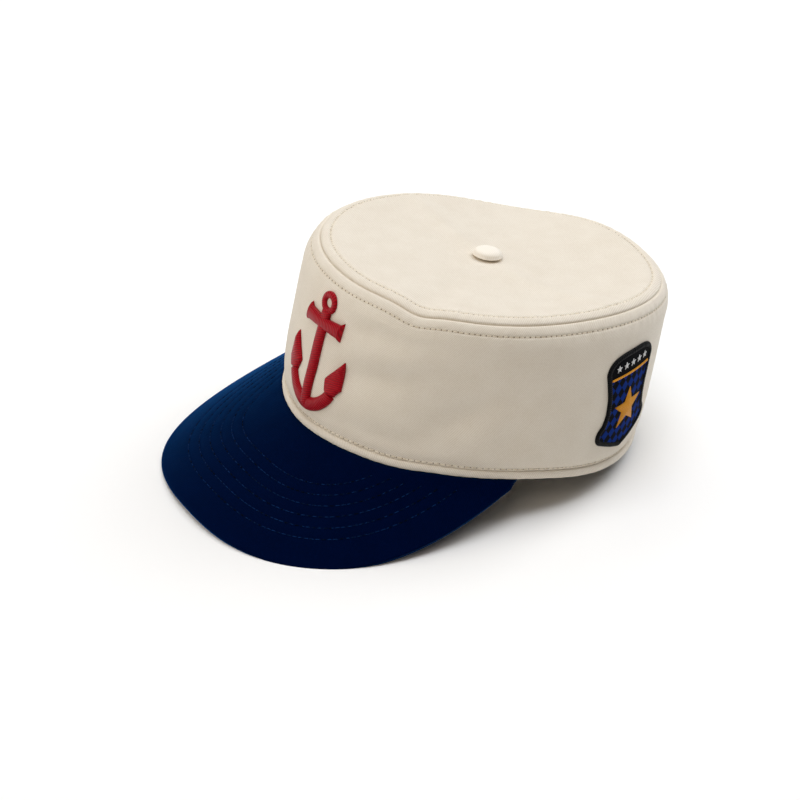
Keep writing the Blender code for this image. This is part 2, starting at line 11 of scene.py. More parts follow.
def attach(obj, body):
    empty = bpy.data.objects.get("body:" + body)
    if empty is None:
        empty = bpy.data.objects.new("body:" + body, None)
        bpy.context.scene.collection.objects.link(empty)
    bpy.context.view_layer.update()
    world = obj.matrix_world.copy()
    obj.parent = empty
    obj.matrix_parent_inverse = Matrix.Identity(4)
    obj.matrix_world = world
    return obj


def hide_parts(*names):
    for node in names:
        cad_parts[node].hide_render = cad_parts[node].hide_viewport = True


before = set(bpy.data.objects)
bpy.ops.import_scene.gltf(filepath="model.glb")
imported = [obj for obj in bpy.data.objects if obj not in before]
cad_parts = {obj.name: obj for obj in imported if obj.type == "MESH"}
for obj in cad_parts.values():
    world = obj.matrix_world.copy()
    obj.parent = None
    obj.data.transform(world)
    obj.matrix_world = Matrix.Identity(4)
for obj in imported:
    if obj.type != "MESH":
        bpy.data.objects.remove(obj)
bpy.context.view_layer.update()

# How the cap lies.
# Put down by itself, it stands on the edge of its brim and on the back of its hem, so its front is
# raised. Every piece is worked out on the level cap, front towards -Y and wearer's left towards +X.
REST_PITCH = math.radians(9.28)
REST_PLACE = np.array([0.0, 0.02518, 0.01549])


def at_rest(points):
    """World points of points on the level cap."""
    y = points[..., 1] * math.cos(REST_PITCH) + points[..., 2] * math.sin(REST_PITCH)
    z = points[..., 2] * math.cos(REST_PITCH) - points[..., 1] * math.sin(REST_PITCH)
    return np.stack([points[..., 0], y, z], axis=-1) + REST_PLACE


# Camera.
# A product photograph taken from a little above the table, towards the front left of the cap.
CAMERA_AZIMUTH = math.radians(56.09)
CAMERA_ELEVATION = math.radians(31.26)
CAMERA_ROLL = math.radians(-0.19)
CAMERA_DISTANCE = 1.0
CAMERA_LENS_MM = 85.8
AIM_LEFT = 0.0298
AIM_BELOW = 0.0023

camera = bpy.data.objects.new("camera", bpy.data.cameras.new("camera"))
bpy.context.scene.collection.objects.link(camera)
bpy.context.scene.camera = camera
back = Vector(
    (
        math.sin(CAMERA_AZIMUTH) * math.cos(CAMERA_ELEVATION),
        -math.cos(CAMERA_AZIMUTH) * math.cos(CAMERA_ELEVATION),
        math.sin(CAMERA_ELEVATION),
    )
)
right = Vector((math.cos(CAMERA_AZIMUTH), math.sin(CAMERA_AZIMUTH), 0))
above = back.cross(right)
camera.data.lens = CAMERA_LENS_MM
camera.location = Vector(REST_PLACE) + back * CAMERA_DISTANCE
aim = -back * CAMERA_DISTANCE - right * AIM_LEFT - above * AIM_BELOW
camera.rotation_mode = "QUATERNION"
camera.rotation_quaternion = aim.to_track_quat("-Z", "Y") @ Quaternion((0, 0, 1), CAMERA_ROLL)

# Studio.
# A sheet of white paper under a ring of big soft boxes. The strongest stands behind the cap, so the
# top is bright and the near wall lies in a soft shade.
FLOOR_RADIUS = 6.0
FLOOR_COLOUR = "#FDFDFC"
ROOM_COLOUR = "#FFFFFF"
ROOM_STRENGTH = 0.08
SOFT_BOX_DISTANCE = 2.3
SOFT_BOX_WIDTH = 1.3
SOFT_BOXES = [
    # name, azimuth, elevation, power in W, colour
    ("top_box", 0, 88, 21.0, "#F9FBFF"),
    ("back_box", 180, 45, 28.5, "#F9FBFF"),
    ("left_box", -110, 48, 9.0, "#FFFFFF"),
    ("front_left_box", -38, 22, 10.0, "#FFFBF4"),
    ("front_box", -10, 40, 7.5, "#FFFBF4"),
    ("front_right_box", 32, 42, 6.8, "#FFEBD3"),
]

bpy.context.scene.view_settings.view_transform = "Standard"


def linear(colour):
    """Linear colour of an sRGB hex colour."""
    levels = [int(colour[i : i + 2], 16) / 255 for i in (1, 3, 5)]
    return [v / 12.92 if v <= 0.04045 else ((v + 0.055) / 1.055) ** 2.4 for v in levels]


def add(tree, kind, links=(), **settings):
    """Adds a node with its settings and with links from sockets or values to its inputs."""
    node = tree.nodes.new(kind)
    for name, value in settings.items():
        setattr(node, name, value)
    for name, value in dict(links).items():
        if isinstance(value, bpy.types.NodeSocket):
            tree.links.new(value, node.inputs[name])
        else:
            node.inputs[name].default_value = value
    return node


def surface(name, colour, roughness, **sockets):
    """Material with a Principled surface, and its node tree and shader."""
    material = bpy.data.materials.new(name)
    material.use_nodes = True
    tree = material.node_tree
    shader = tree.nodes["Principled BSDF"]
    shader.inputs["Base Color"].default_value = (*linear(colour), 1)
    shader.inputs["Roughness"].default_value = roughness
    for socket, value in sockets.items():
        shader.inputs[socket.replace("_", " ")].default_value = value
    return material, tree, shader


def cloth_surface(tree, shader, share, colour, shade, height, strength, depth):
    """Gives the shader a mix of colour and shade and a fine relief. Returns the mixed colour."""
    mixed = add(
        tree,
        "ShaderNodeMix",
        {"Factor": share, "A": (*linear(colour), 1), "B": (*linear(shade), 1)},
        data_type="RGBA",
    )
    tree.links.new(mixed.outputs["Result"], shader.inputs["Base Color"])
    raised = add(tree, "ShaderNodeBump", {"Height": height, "Strength": strength, "Distance": depth})
    tree.links.new(raised.outputs["Normal"], shader.inputs["Normal"])
    return mixed.outputs["Result"]


floor_mesh = bpy.data.meshes.new("paper_floor")
floor_shape = bmesh.new()
bmesh.ops.create_circle(floor_shape, cap_ends=True, radius=FLOOR_RADIUS, segments=96)
floor_shape.to_mesh(floor_mesh)
floor_shape.free()
floor = bpy.data.objects.new("paper_floor", floor_mesh)
bpy.context.scene.collection.objects.link(floor)
# The paper is matt and nearly white, so the ground is plain and bright and mirrors nothing.
floor_mesh.materials.append(surface("matt_white_paper", FLOOR_COLOUR, 0.9)[0])

world = bpy.data.worlds.new("white_room")
world.use_nodes = True
world.node_tree.nodes["Background"].inputs["Color"].default_value = (*linear(ROOM_COLOUR), 1)
world.node_tree.nodes["Background"].inputs["Strength"].default_value = ROOM_STRENGTH
bpy.context.scene.world = world
for name, azimuth, elevation, power, colour in SOFT_BOXES:
    lamp = bpy.data.lights.new(name, "AREA")
    lamp.shape = "SQUARE"
    lamp.size = SOFT_BOX_WIDTH
    lamp.energy = power
    lamp.color = linear(colour)
    box = bpy.data.objects.new(name, lamp)
    bpy.context.scene.collection.objects.link(box)
    turn, rise = math.radians(azimuth), math.radians(elevation)
    away = Vector((math.sin(turn) * math.cos(rise), -math.cos(turn) * math.cos(rise), math.sin(rise)))
    box.location = away * SOFT_BOX_DISTANCE
    box.rotation_mode = "QUATERNION"
    box.rotation_quaternion = (-away).to_track_quat("-Z", "Y")

# Side wall of the crown.
# A band of cream cotton twill, sewn to the top panel with both seam allowances pressed open and a row
# of stitches on each side of the seam. It is soft, so it dents where it isn't backed.
HEM_HALF_WIDTH = 0.0951
HEM_HALF_LENGTH = 0.0944
HEM_SQUARENESS = 1.90
HEM_BACK_FULLNESS = 0.052
HEM_SIDE_RISE = 0.0012
HEM_WANDER = 0.0010
HEM_ROLL = 0.0043
HEM_LIFT = 0.0014
HEM_LIFT_STARTS = (35, 52)
HEM_LIFT_ENDS = (76, 112)
HEM_PROUD = 0.0009
SEAM_HALF_WIDTH = 0.0837
SEAM_HALF_LENGTH = 0.0849
SEAM_SQUARENESS = 2.16
SEAM_BACK_FULLNESS = -0.011
SEAM_SHIFT_BACK = 0.0060
SEAM_SIDE_RISE = 0.0009
SEAM_BACK_RISE = 0.0018
SEAM_WANDER = 0.0010
CROWN_HEIGHT = 0.0800
CLOTH_THICKNESS = 0.0016
WALL_BULGE = 0.0034
SHOULDER_RADIUS = 0.0136
SEAM_TILT = math.radians(50)
DENT_DEPTH = 0.0030
DENT_FADE = 6
SEAM_GAP = 0.0003

# Wall profile between the hem line and the shoulder: height share, bulge as a share of WALL_BULGE
WALL_PROFILE = [
    (0.00, 0.00),
    (0.12, 0.42),
    (0.32, 0.86),
    (0.55, 1.00),
    (0.78, 0.93),
    (1.00, 0.60),
]

# Unevenness of the hem line: turn and half width in degrees, rise as a share of HEM_WANDER
HEM_SHAPE = [
    (45, 16, -0.7),
    (80, 11, 0.3),
    (115, 18, -1.5),
]

# Unevenness of the seam line: turn and half width in degrees, out and rise as shares of SEAM_WANDER
SEAM_SHAPE = [
    (18, 8, -0.5, 0.6),
    (32, 5, 0.4, -2.0),
    (75, 20, -0.4, 0.0),
    (120, 22, 1.7, 1.7),
    (155, 22, 0.3, -0.3),
    (190, 22, 1.4, 3.3),
    (225, 25, -0.4, -6.7),
    (300, 30, -0.2, 0.9),
]

# Dents: turn in degrees, height share, half length and half height as shares of CROWN_HEIGHT, depth
# as a share of DENT_DEPTH, slant in degrees
DENTS = [
    (46, 0.43, 0.30, 0.15, 1.3, 6),
    (92, 0.52, 0.34, 0.22, -0.6, 0),
    (-34, 0.62, 0.55, 0.30, -0.40, 0),
    (22, 0.79, 0.22, 0.05, 0.5, 8),
    (26, 0.53, 0.24, 0.07, 1.0, 14),
    (54, 0.38, 0.17, 0.07, 0.7, 28),
    (70, 0.29, 0.08, 0.10, 0.5, 60),
    (33, 0.17, 0.35, 0.06, 0.4, 3),
    (205, 0.45, 0.35, 0.14, 0.7, -20),
    (300, 0.42, 0.30, 0.12, 0.6, 15),
]


def superellipse(turn, half_width, half_length, squareness):
    """Plan points of a squared oval. A turn of 0 is the front, and a quarter turn the wearer's left."""
    across = np.sin(turn)
    along = -np.cos(turn)
    power = 2 / squareness
    x = half_width * np.sign(across) * np.abs(across) ** power
    y = half_length * np.sign(along) * np.abs(along) ** power
    return x, y


def turn_from(turn, degrees):
    """Turn away from a place given in degrees, between minus and plus half a turn."""
    return np.angle(np.exp(1j * (turn - math.radians(degrees))))


def unit(vectors):
    """Vectors brought to length 1."""
    return vectors / np.linalg.norm(vectors, axis=-1, keepdims=True)


def swell(turn, degrees, half_width):
    """Smooth swelling of height 1 round one turn."""
    away = turn_from(turn, degrees)
    return np.exp(-((away / math.radians(half_width)) ** 2) / 2)


def hem_line(turn):
    """Outer lower edge of the hem."""
    x, y = superellipse(turn, HEM_HALF_WIDTH, HEM_HALF_LENGTH, HEM_SQUARENESS)
    x = x * (1 - HEM_BACK_FULLNESS * np.cos(turn))
    z = -HEM_SIDE_RISE * np.cos(2 * turn)
    for degrees, half_width, rise in HEM_SHAPE:
        z = z + swell(turn, degrees, half_width) * rise * HEM_WANDER
    return np.stack([x, y, z], axis=-1)


def smooth_step(value, low, high):
    """Smooth rise from 0 at the low value to 1 at the high value."""
    t = np.clip((value - low) / (high - low), 0, 1)
    return t * t * (3 - 2 * t)


def hem_lift(turn):
    """How far the hem's roll is drawn up above the hem line, at the ends of the brim."""
    away = np.abs(np.degrees(turn_from(turn, 0)))
    return HEM_LIFT * smooth_step(away, *HEM_LIFT_STARTS) * (1 - smooth_step(away, *HEM_LIFT_ENDS))


def seam_line(turn):
    """Seam between the wall and the top panel."""
    x, y = superellipse(turn, SEAM_HALF_WIDTH, SEAM_HALF_LENGTH, SEAM_SQUARENESS)
    x = x * (1 - SEAM_BACK_FULLNESS * np.cos(turn))
    z = CROWN_HEIGHT - SEAM_SIDE_RISE * np.cos(2 * turn) - SEAM_BACK_RISE * np.cos(turn)
    for degrees, half_width, out, rise in SEAM_SHAPE:
        size = swell(turn, degrees, half_width) * SEAM_WANDER
        x = x + size * out * np.sin(turn)
        y = y - size * out * np.cos(turn)
        z = z + size * rise
    return np.stack([x, y + SEAM_SHIFT_BACK, z], axis=-1)


def outward(turn):
    """Level unit vector out of the wall, halfway up."""
    step = 0.01
    ahead = hem_line(turn + step) + seam_line(turn + step)
    behind = hem_line(turn - step) + seam_line(turn - step)
    along = ahead - behind
    return unit(np.stack([along[..., 1], -along[..., 0], np.zeros_like(turn)], axis=-1))


def smooth_table(table, share):
    """Value at a share, on a smooth curve through the rows of a two-column table."""
    shares = np.array([row[0] for row in table])
    values = np.array([row[1] for row in table])
    slopes = np.gradient(values, shares)
    share = np.clip(share, shares[0], shares[-1])
    i = np.clip(np.searchsorted(shares, share, side="right") - 1, 0, len(shares) - 2)
    width = shares[i + 1] - shares[i]
    t = (share - shares[i]) / width
    blend = t * t * (3 - 2 * t)
    lead = t * (1 - t) ** 2 * width * slopes[i]
    trail = t * t * (t - 1) * width * slopes[i + 1]
    return values[i] * (1 - blend) + values[i + 1] * blend + lead + trail


shoulder_depth = SHOULDER_RADIUS * math.sin(SEAM_TILT)
shoulder_share = 1 - shoulder_depth / CROWN_HEIGHT


def wall_fullness(height):
    """How far the wall stands out of the straight line from hem to seam."""
    shoulder_out = SHOULDER_RADIUS * (1 - math.cos(SEAM_TILT))
    profile = smooth_table(WALL_PROFILE, height / shoulder_share)
    last = WALL_PROFILE[-1][1]
    below = profile * WALL_BULGE + (shoulder_out - last * WALL_BULGE) * (height / shoulder_share) ** 4
    depth = np.clip((1 - height) * CROWN_HEIGHT, 0, shoulder_depth)
    rise = math.sin(SEAM_TILT) - depth / SHOULDER_RADIUS
    arc = SHOULDER_RADIUS * (np.sqrt(1 - rise * rise) - math.cos(SEAM_TILT))
    return np.where(height < shoulder_share, below, arc)


def dent_depth(turn, height):
    """Depth of all dents at a place on the wall."""
    total = np.zeros(np.broadcast(turn, height).shape)
    mean_radius = (HEM_HALF_WIDTH + SEAM_HALF_WIDTH) / 2
    for centre, rise, half_length, half_height, depth, slant in DENTS:
        along = turn_from(turn, centre) * mean_radius / CROWN_HEIGHT
        up = height - rise
        lean = math.radians(slant)
        a = (along * math.cos(lean) + up * math.sin(lean)) / half_length
        b = (up * math.cos(lean) - along * math.sin(lean)) / half_height
        total = total + depth * DENT_DEPTH * np.exp(-(a * a + b * b) / 2)
    return total


def wall(turn, height):
    """Outer face of the wall at a turn and a height share from the hem line to the seam."""
    turn, height = np.broadcast_arrays(turn, height)
    share = height[..., None]
    line = hem_line(turn) * (1 - share) + seam_line(turn) * share
    fullness = wall_fullness(height) - HEM_PROUD * (1 - height)
    edge_fade = np.clip((1 - height) * DENT_FADE, 0, 1) * np.clip(height * DENT_FADE, 0, 1)
    return line + outward(turn) * (fullness - dent_depth(turn, height) * edge_fade)[..., None]


def normal_of(face, turn, share, step=0.002):
    """Unit normal of a face that a turn and a share give."""
    low = np.clip(share - step, 0, 1)
    high = np.clip(share + step, 0, 1)
    around = face(turn + step, share) - face(turn - step, share)
    upward = face(turn, high) - face(turn, low)
    return unit(np.cross(around, upward))


# Fine relief: the puffed seam, the grooves of the stitch rows, the gathers beside them, and the foot of
# the wall, which is drawn in under the roll of the hem
STITCH_PITCH = 0.0028
WALL_ROW_BELOW = 0.0055
HEM_ROW_ABOVE = 0.0011
TOP_ROW_INSIDE = 0.0058
SEAM_PUFF = 0.00045
SEAM_LINE_DEPTH = 0.0007
SEAM_LINE_WIDTH = 0.0005
ROW_GROOVE = 0.00042
ROW_GROOVE_WIDTH = 0.0006
PUCKER = 0.00016
PUCKER_REACH = 0.0035
DITCH_DEPTH = 0.0003
DITCH_WIDTH = 0.0011
FOOT_TUCK = 0.0010
FOOT_TUCK_REACH = 0.0042
FOOT_BAND = 0.0042
FOOT_STEP = 0.00042
WALL_COLUMNS = 640
FINE_STEP = 0.0003
FINE_BAND = 0.0081
COARSE_STEP = 0.0013
INNER_ROW_STEP = 5
INNER_PLACE = 0.5
HEM_PUCKER = 0.8
HEM_PUCKER_STRETCH = 1.13
HEM_PUCKER_START = 0.4

# Gathers: height share, waves in radians a metre, how far they wander, and the wander's waves and start
PUCKER_WAVES = [
    (1.0, 1050, 1.7, 95, 0),
    (0.7, 640, 2.1, 61, 2),
]
PUCKER_FADE = 140


def pucker(along, from_row):
    """Small gathers that a row of stitches pulls into the cloth, as a height."""
    wave = 0
    for share, rate, wander, wander_rate, start in PUCKER_WAVES:
        wave = wave + share * np.sin(along * rate + wander * np.sin(along * wander_rate + start))
    wave = wave * (0.65 + 0.35 * np.sin(along * PUCKER_FADE + 1))
    return PUCKER * wave * np.exp(-((from_row / PUCKER_REACH) ** 2))


def row_relief(along, from_seam, row):
    """Height of the cloth near a seam and its row of stitches."""
    puff = SEAM_PUFF * np.sin(math.pi * np.clip(from_seam / row, 0, 1)) ** 0.7
    crack = SEAM_LINE_DEPTH * np.exp(-((from_seam / SEAM_LINE_WIDTH) ** 2))
    groove = ROW_GROOVE * np.exp(-(((from_seam - row) / ROW_GROOVE_WIDTH) ** 2))
    return puff - crack - groove + pucker(along, from_seam - row)


def steps_from_seam(last, coarse):
    """Distances from the seam, close together as far as the row of stitches and wider beyond it."""
    near = np.arange(0, FINE_BAND, FINE_STEP)
    count = max(2, int(round((last - FINE_BAND) / coarse)))
    return np.concatenate([near, np.linspace(FINE_BAND, last, count + 1)])


def wall_height(from_seam):
    """Height share of the wall at a distance down from the seam, along the cloth."""
    bend = SHOULDER_RADIUS * SEAM_TILT
    angle = SEAM_TILT - np.clip(from_seam, 0, bend) / SHOULDER_RADIUS
    depth = SHOULDER_RADIUS * (math.sin(SEAM_TILT) - np.sin(angle)) + np.clip(from_seam - bend, 0, None)
    return 1 - depth / CROWN_HEIGHT


def woven(name, points, places, wrap_rows, wrap_columns, stitches=None):
    """Mesh of quads over rows and columns of points. Each corner also keeps its place on the flat
    cloth in metres, and its place beside the row of stitches: count along it, distance from it.
    A piece without rows keeps a place a metre away from them."""
    if stitches is None:
        stitches = np.ones_like(places)
    rows, columns = points.shape[:2]
    i = np.arange(rows if wrap_rows else rows - 1)[:, None]
    j = np.arange(columns if wrap_columns else columns - 1)[None, :]
    corners = [(i, j), (i, j + 1), (i + 1, j + 1), (i + 1, j)]
    numbers = [(a % rows) * columns + b % columns for a, b in corners]
    faces = np.stack(numbers, axis=-1).reshape(-1, 4)
    mesh = bpy.data.meshes.new(name)
    mesh.from_pydata(at_rest(points).reshape(-1, 3).tolist(), [], faces.tolist())
    for attribute, values in (("cloth_place", places), ("stitch_place", stitches)):
        corner_values = np.stack([values[a + 0 * b, b + 0 * a] for a, b in corners], axis=-2)
        data = mesh.attributes.new(attribute, "FLOAT_VECTOR", "CORNER").data
        data.foreach_set("vector", corner_values.astype(np.float32).ravel())
    shape = bmesh.new()
    shape.from_mesh(mesh)
    bmesh.ops.remove_doubles(shape, verts=shape.verts, dist=1e-7)
    bmesh.ops.recalc_face_normals(shape, faces=shape.faces)
    shape.to_mesh(mesh)
    shape.free()
    mesh.shade_smooth()
    piece = bpy.data.objects.new(name, mesh)
    bpy.context.scene.collection.objects.link(piece)
    return piece


def third(a, b):
    """Three-column array of two broadcast values, with 0 in the third column."""
    a, b = np.broadcast_arrays(a, b)
    return np.stack([a, b, np.zeros_like(a, dtype=float)], axis=-1)


def run_along(points):
    """Length along a line of points, up to each point."""
    return np.concatenate([[0], np.cumsum(np.linalg.norm(np.diff(points, axis=0), axis=-1))])


turns = np.linspace(0, 2 * math.pi, WALL_COLUMNS + 1)
along_wall = run_along(wall(turns, np.full_like(turns, 0.5)))
stitch_count = round(along_wall[-1] / STITCH_PITCH)
stitches_along = along_wall / along_wall[-1] * stitch_count
shoulder_slack = SHOULDER_RADIUS * (SEAM_TILT - math.sin(SEAM_TILT))
wall_length = CROWN_HEIGHT - HEM_ROLL - SEAM_GAP + shoulder_slack


def wall_relief(along, from_seam):
    """Height of the fine relief all over the wall."""
    above_hem = wall_length - from_seam
    ditch = DITCH_DEPTH * np.exp(-((above_hem / DITCH_WIDTH) ** 2))
    ditch = ditch + FOOT_TUCK * np.exp(-((above_hem / FOOT_TUCK_REACH) ** 2))
    gathers = pucker(along * HEM_PUCKER_STRETCH + HEM_PUCKER_START, above_hem) * HEM_PUCKER
    return row_relief(along, from_seam, WALL_ROW_BELOW) - ditch + gathers


def height_below(turn, from_seam):
    """Height share at a turn and a distance down from the seam, so that the last row meets the roll."""
    foot = (HEM_ROLL + hem_lift(turn)) / CROWN_HEIGHT
    return 1 - (1 - wall_height(from_seam)) * (1 - foot) / (1 - wall_height(wall_length))


down = steps_from_seam(wall_length - FOOT_BAND, COARSE_STEP)
down = np.append(down, wall_length - np.arange(FOOT_BAND - FOOT_STEP, -FOOT_STEP / 2, -FOOT_STEP))
grid_turn = turns[None, :-1] + 0 * down[:, None]
grid_height = height_below(grid_turn, down[:, None])
wall_face = wall(grid_turn, grid_height)
wall_normal = normal_of(wall, grid_turn, grid_height)
relief = wall_relief(along_wall[None, :-1], down[:, None])
outer = wall_face + wall_normal * relief[..., None]
inner_rows = np.unique(np.concatenate([np.arange(0, len(down), INNER_ROW_STEP), [len(down) - 1]]))
inner = wall_face[inner_rows] - wall_normal[inner_rows] * CLOTH_THICKNESS
wall_points = np.concatenate([outer, inner[::-1]])
# The inner face has its pattern from half a metre away, clear of the needle holes' painted shade
wall_down = np.concatenate([down, down[inner_rows][::-1] + INNER_PLACE, [down[0] + 2 * INNER_PLACE]])
wall_places = third(along_wall[None, :], wall_down[:, None])
from_hem_row = (wall_length - HEM_ROW_ABOVE) - wall_down
from_wall_row = wall_down - WALL_ROW_BELOW
from_row = np.where(np.abs(from_hem_row) < np.abs(from_wall_row), from_hem_row, from_wall_row)
wall_stitches = third(stitches_along[None, :], from_row[:, None])
side_wall = woven("crown_wall", wall_points, wall_places, True, True, wall_stitches)

# One stitch: share of its length, lift off the cloth and half width as shares of the thread's radius
STITCH_STATIONS = [
    (0.06, -0.9, 0.55),
    (0.20, 0.35, 1.0),
    (0.42, 0.8, 1.12),
    (0.64, 0.8, 1.12),
    (0.86, 0.35, 1.0),
    (0.97, -0.9, 0.55),
]
SEAM_THREAD_RADIUS = 0.00024
THREAD_SIDES = 6
THREAD_FLATNESS = 0.8


def thread_rows(name, count, place, radius):
    """Mesh of the stitches of one row. Stitch k lies between the needle holes k and k + 1, and place
    gives the points and normals of the cloth at places along the row."""
    shares, lifts, widths = np.array(STITCH_STATIONS).T
    lifts = lifts * radius
    widths = widths * radius
    points, normals = place(np.arange(count)[:, None] + shares[None, :])
    along = np.gradient(points, axis=1)
    across = unit(np.cross(along, normals))
    middle = points + normals * lifts[None, :, None]
    sides = np.arange(THREAD_SIDES) * math.tau / THREAD_SIDES
    ring = middle[:, :, None, :] + widths[None, :, None, None] * (
        across[:, :, None, :] * np.cos(sides)[None, None, :, None]
        + normals[:, :, None, :] * np.sin(sides)[None, None, :, None] * THREAD_FLATNESS
    )
    verts = at_rest(ring).reshape(-1, 3)
    faces = []
    for k in range(count):
        first = k * len(shares) * THREAD_SIDES
        last = first + (len(shares) - 1) * THREAD_SIDES
        for station in range(first, last, THREAD_SIDES):
            for j in range(THREAD_SIDES):
                a = station + j
                b = station + (j + 1) % THREAD_SIDES
                faces.append((a, a + THREAD_SIDES, b + THREAD_SIDES, b))
        faces.append(tuple(range(first, first + THREAD_SIDES)))
        faces.append(tuple(reversed(range(last, last + THREAD_SIDES))))
    mesh = bpy.data.meshes.new(name)
    mesh.from_pydata(verts.tolist(), [], faces)
    mesh.shade_smooth()
    stitches = bpy.data.objects.new(name, mesh)
    bpy.context.scene.collection.objects.link(stitches)
    return stitches


def wall_row_at(from_seam):
    """Place function for a row of stitches at a distance down from the seam."""

    def place(count):
        turn = np.interp(count, stitches_along, turns)
        height = height_below(turn, from_seam)
        normal = normal_of(wall, turn, height)
        lift = wall_relief(np.interp(turn, turns, along_wall), from_seam)
        return wall(turn, height) + normal * lift[..., None], normal

    return place


# Cotton twill is woven of matt yarn in diagonal ribs, which give it a soft, faintly lined face. The
# real ribs lie 0.5 mm apart and are drawn 0.85 mm apart, because finer ones would not show.
TWILL_RIB = 0.00085
TWILL_TURN = math.radians(-34)
RIB_WANDER = 0.0012
RIB_WANDER_RATE = 60.0
YARN_FUZZ = 0.0009
YARN_CLOUD = 0.012
# Radians a metre of a wave texture of scale 1
WAVE_RATE = 20
CREAM = "#ECE4D6"
# The shade colour is the darker cream of the cloudy yarn and of the painted shade in the rib hollows
CREAM_SHADE = "#CABBA4"
# Colour of the painted shade in the needle holes
PAINTED_HOLE_SHADE = "#8C7B65"
HOLE_RADIUS = 0.00036
TWILL_RELIEF = 0.00016
COTTON_SHEEN = {"Sheen_Weight": 0.15, "Sheen_Roughness": 0.5, "Specular_IOR_Level": 0.2}


def twill(name, colour, shade, roughness, relief, holes, **sockets):
    """Diagonal twill: ribs, fuzz and cloudy yarn, painted shade in the rib hollows and at the needle
    holes.
    """
    material, tree, shader = surface(name, colour, roughness, **sockets)
    place = add(tree, "ShaderNodeAttribute", attribute_name="cloth_place").outputs["Vector"]
    wander = add(tree, "ShaderNodeTexNoise", {"Vector": place, "Scale": RIB_WANDER_RATE, "Detail": 1.0})
    bent = add(
        tree,
        "ShaderNodeMix",
        {"Factor": RIB_WANDER, "A": place, "B": wander.outputs["Color"]},
        data_type="VECTOR",
    )
    turned = add(
        tree, "ShaderNodeMapping", {"Vector": bent.outputs["Result"], "Rotation": (0, 0, TWILL_TURN)}
    )
    ribs = add(
        tree,
        "ShaderNodeTexWave",
        {"Vector": turned.outputs["Vector"], "Scale": math.tau / TWILL_RIB / WAVE_RATE, "Distortion": 0.0},
        bands_direction="X",
    )
    fuzz = add(tree, "ShaderNodeTexNoise", {"Vector": place, "Scale": 1 / YARN_FUZZ, "Detail": 3.0})
    cloud = add(tree, "ShaderNodeTexNoise", {"Vector": place, "Scale": 1 / YARN_CLOUD, "Detail": 4.0})
    depth = add(
        tree,
        "ShaderNodeMix",
        {"Factor": 0.5, "A": ribs.outputs["Fac"], "B": fuzz.outputs["Fac"]},
        data_type="FLOAT",
    ).outputs["Result"]
    # Painted shade: the hollows of the ribs and the fuzz are coloured darker
    painted_groove_shade = add(
        tree,
        "ShaderNodeMapRange",
        {"Value": depth, "From Min": 0.2, "From Max": 0.8, "To Min": 0.55, "To Max": 0.0},
    )
    clouded = add(
        tree,
        "ShaderNodeMapRange",
        {"Value": cloud.outputs["Fac"], "From Min": 0.3, "From Max": 0.7, "To Min": -0.07, "To Max": 0.07},
    )
    total = add(
        tree,
        "ShaderNodeMath",
        {0: painted_groove_shade.outputs["Result"], 1: clouded.outputs["Result"]},
        operation="ADD",
        use_clamp=True,
    )
    cloth = cloth_surface(tree, shader, total.outputs[0], colour, shade, depth, 0.6, relief)
    if not holes:
        return material
    # Painted shade: dark dots at the needle holes along the rows of stitches
    beside = add(tree, "ShaderNodeAttribute", attribute_name="stitch_place").outputs["Vector"]
    parts = add(tree, "ShaderNodeSeparateXYZ", {"Vector": beside})
    near = add(tree, "ShaderNodeMath", {0: parts.outputs["X"], 1: 0.5}, operation="PINGPONG")
    along = add(tree, "ShaderNodeMath", {0: near.outputs[0], 1: STITCH_PITCH}, operation="MULTIPLY")
    spot = add(tree, "ShaderNodeCombineXYZ", {"X": along.outputs[0], "Y": parts.outputs["Y"]})
    away = add(tree, "ShaderNodeVectorMath", {0: spot.outputs["Vector"]}, operation="LENGTH")
    rim = {"From Min": HOLE_RADIUS * 0.6, "From Max": HOLE_RADIUS * 1.4, "To Min": 1.0, "To Max": 0.0}
    painted_hole_shade = add(
        tree,
        "ShaderNodeMapRange",
        {"Value": away.outputs["Value"], **rim},
        interpolation_type="SMOOTHSTEP",
    )
    with_hole_shade = add(
        tree,
        "ShaderNodeMix",
        {"Factor": painted_hole_shade.outputs["Result"], "A": cloth, "B": (*linear(PAINTED_HOLE_SHADE), 1)},
        data_type="RGBA",
    )
    tree.links.new(with_hole_shade.outputs["Result"], shader.inputs["Base Color"])
    return material


# Sewing thread is smoother than the cloth. Stitches at random are painted darker, a painted shade for
# stitches that lie deeper. Its plies show as a fine roughness.
THREAD_PLY = 0.0003
THREAD_RELIEF = 0.0001


def thread(name, colour, shade, roughness, **sockets):
    """Twisted sewing thread with fine plies, painted darker in random stitches as shade."""
    material, tree, shader = surface(name, colour, roughness, **sockets)
    place = add(tree, "ShaderNodeTexCoord").outputs["Object"]
    plies = add(tree, "ShaderNodeTexNoise", {"Vector": place, "Scale": 1 / THREAD_PLY, "Detail": 2.0})
    uneven = add(tree, "ShaderNodeTexNoise", {"Vector": place, "Scale": 1 / STITCH_PITCH})
    # Painted shade: random stitches get the darker colour, as if they lay deeper in the cloth
    deep = add(
        tree,
        "ShaderNodeMapRange",
        {"Value": uneven.outputs["Fac"], "From Min": 0.42, "From Max": 0.58, "To Min": 1.0, "To Max": 0.0},
    )
    share, height = deep.outputs["Result"], plies.outputs["Fac"]
    cloth_surface(tree, shader, share, colour, shade, height, 0.5, THREAD_RELIEF)
    return material


cream_twill = twill("cream_cotton_twill", CREAM, CREAM_SHADE, 0.88, TWILL_RELIEF, True, **COTTON_SHEEN)
cream_thread = thread("cream_polyester_thread", "#F0E6D4", "#DDD0B9", 0.6, Specular_IOR_Level=0.3)
side_wall.data.materials.append(cream_twill)
wall_row = thread_rows(
    "wall_stitches", stitch_count, wall_row_at(WALL_ROW_BELOW), SEAM_THREAD_RADIUS
)
wall_row.data.materials.append(cream_thread)
for piece in (side_wall, wall_row):
    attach(piece, "root")
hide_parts("side_wall")

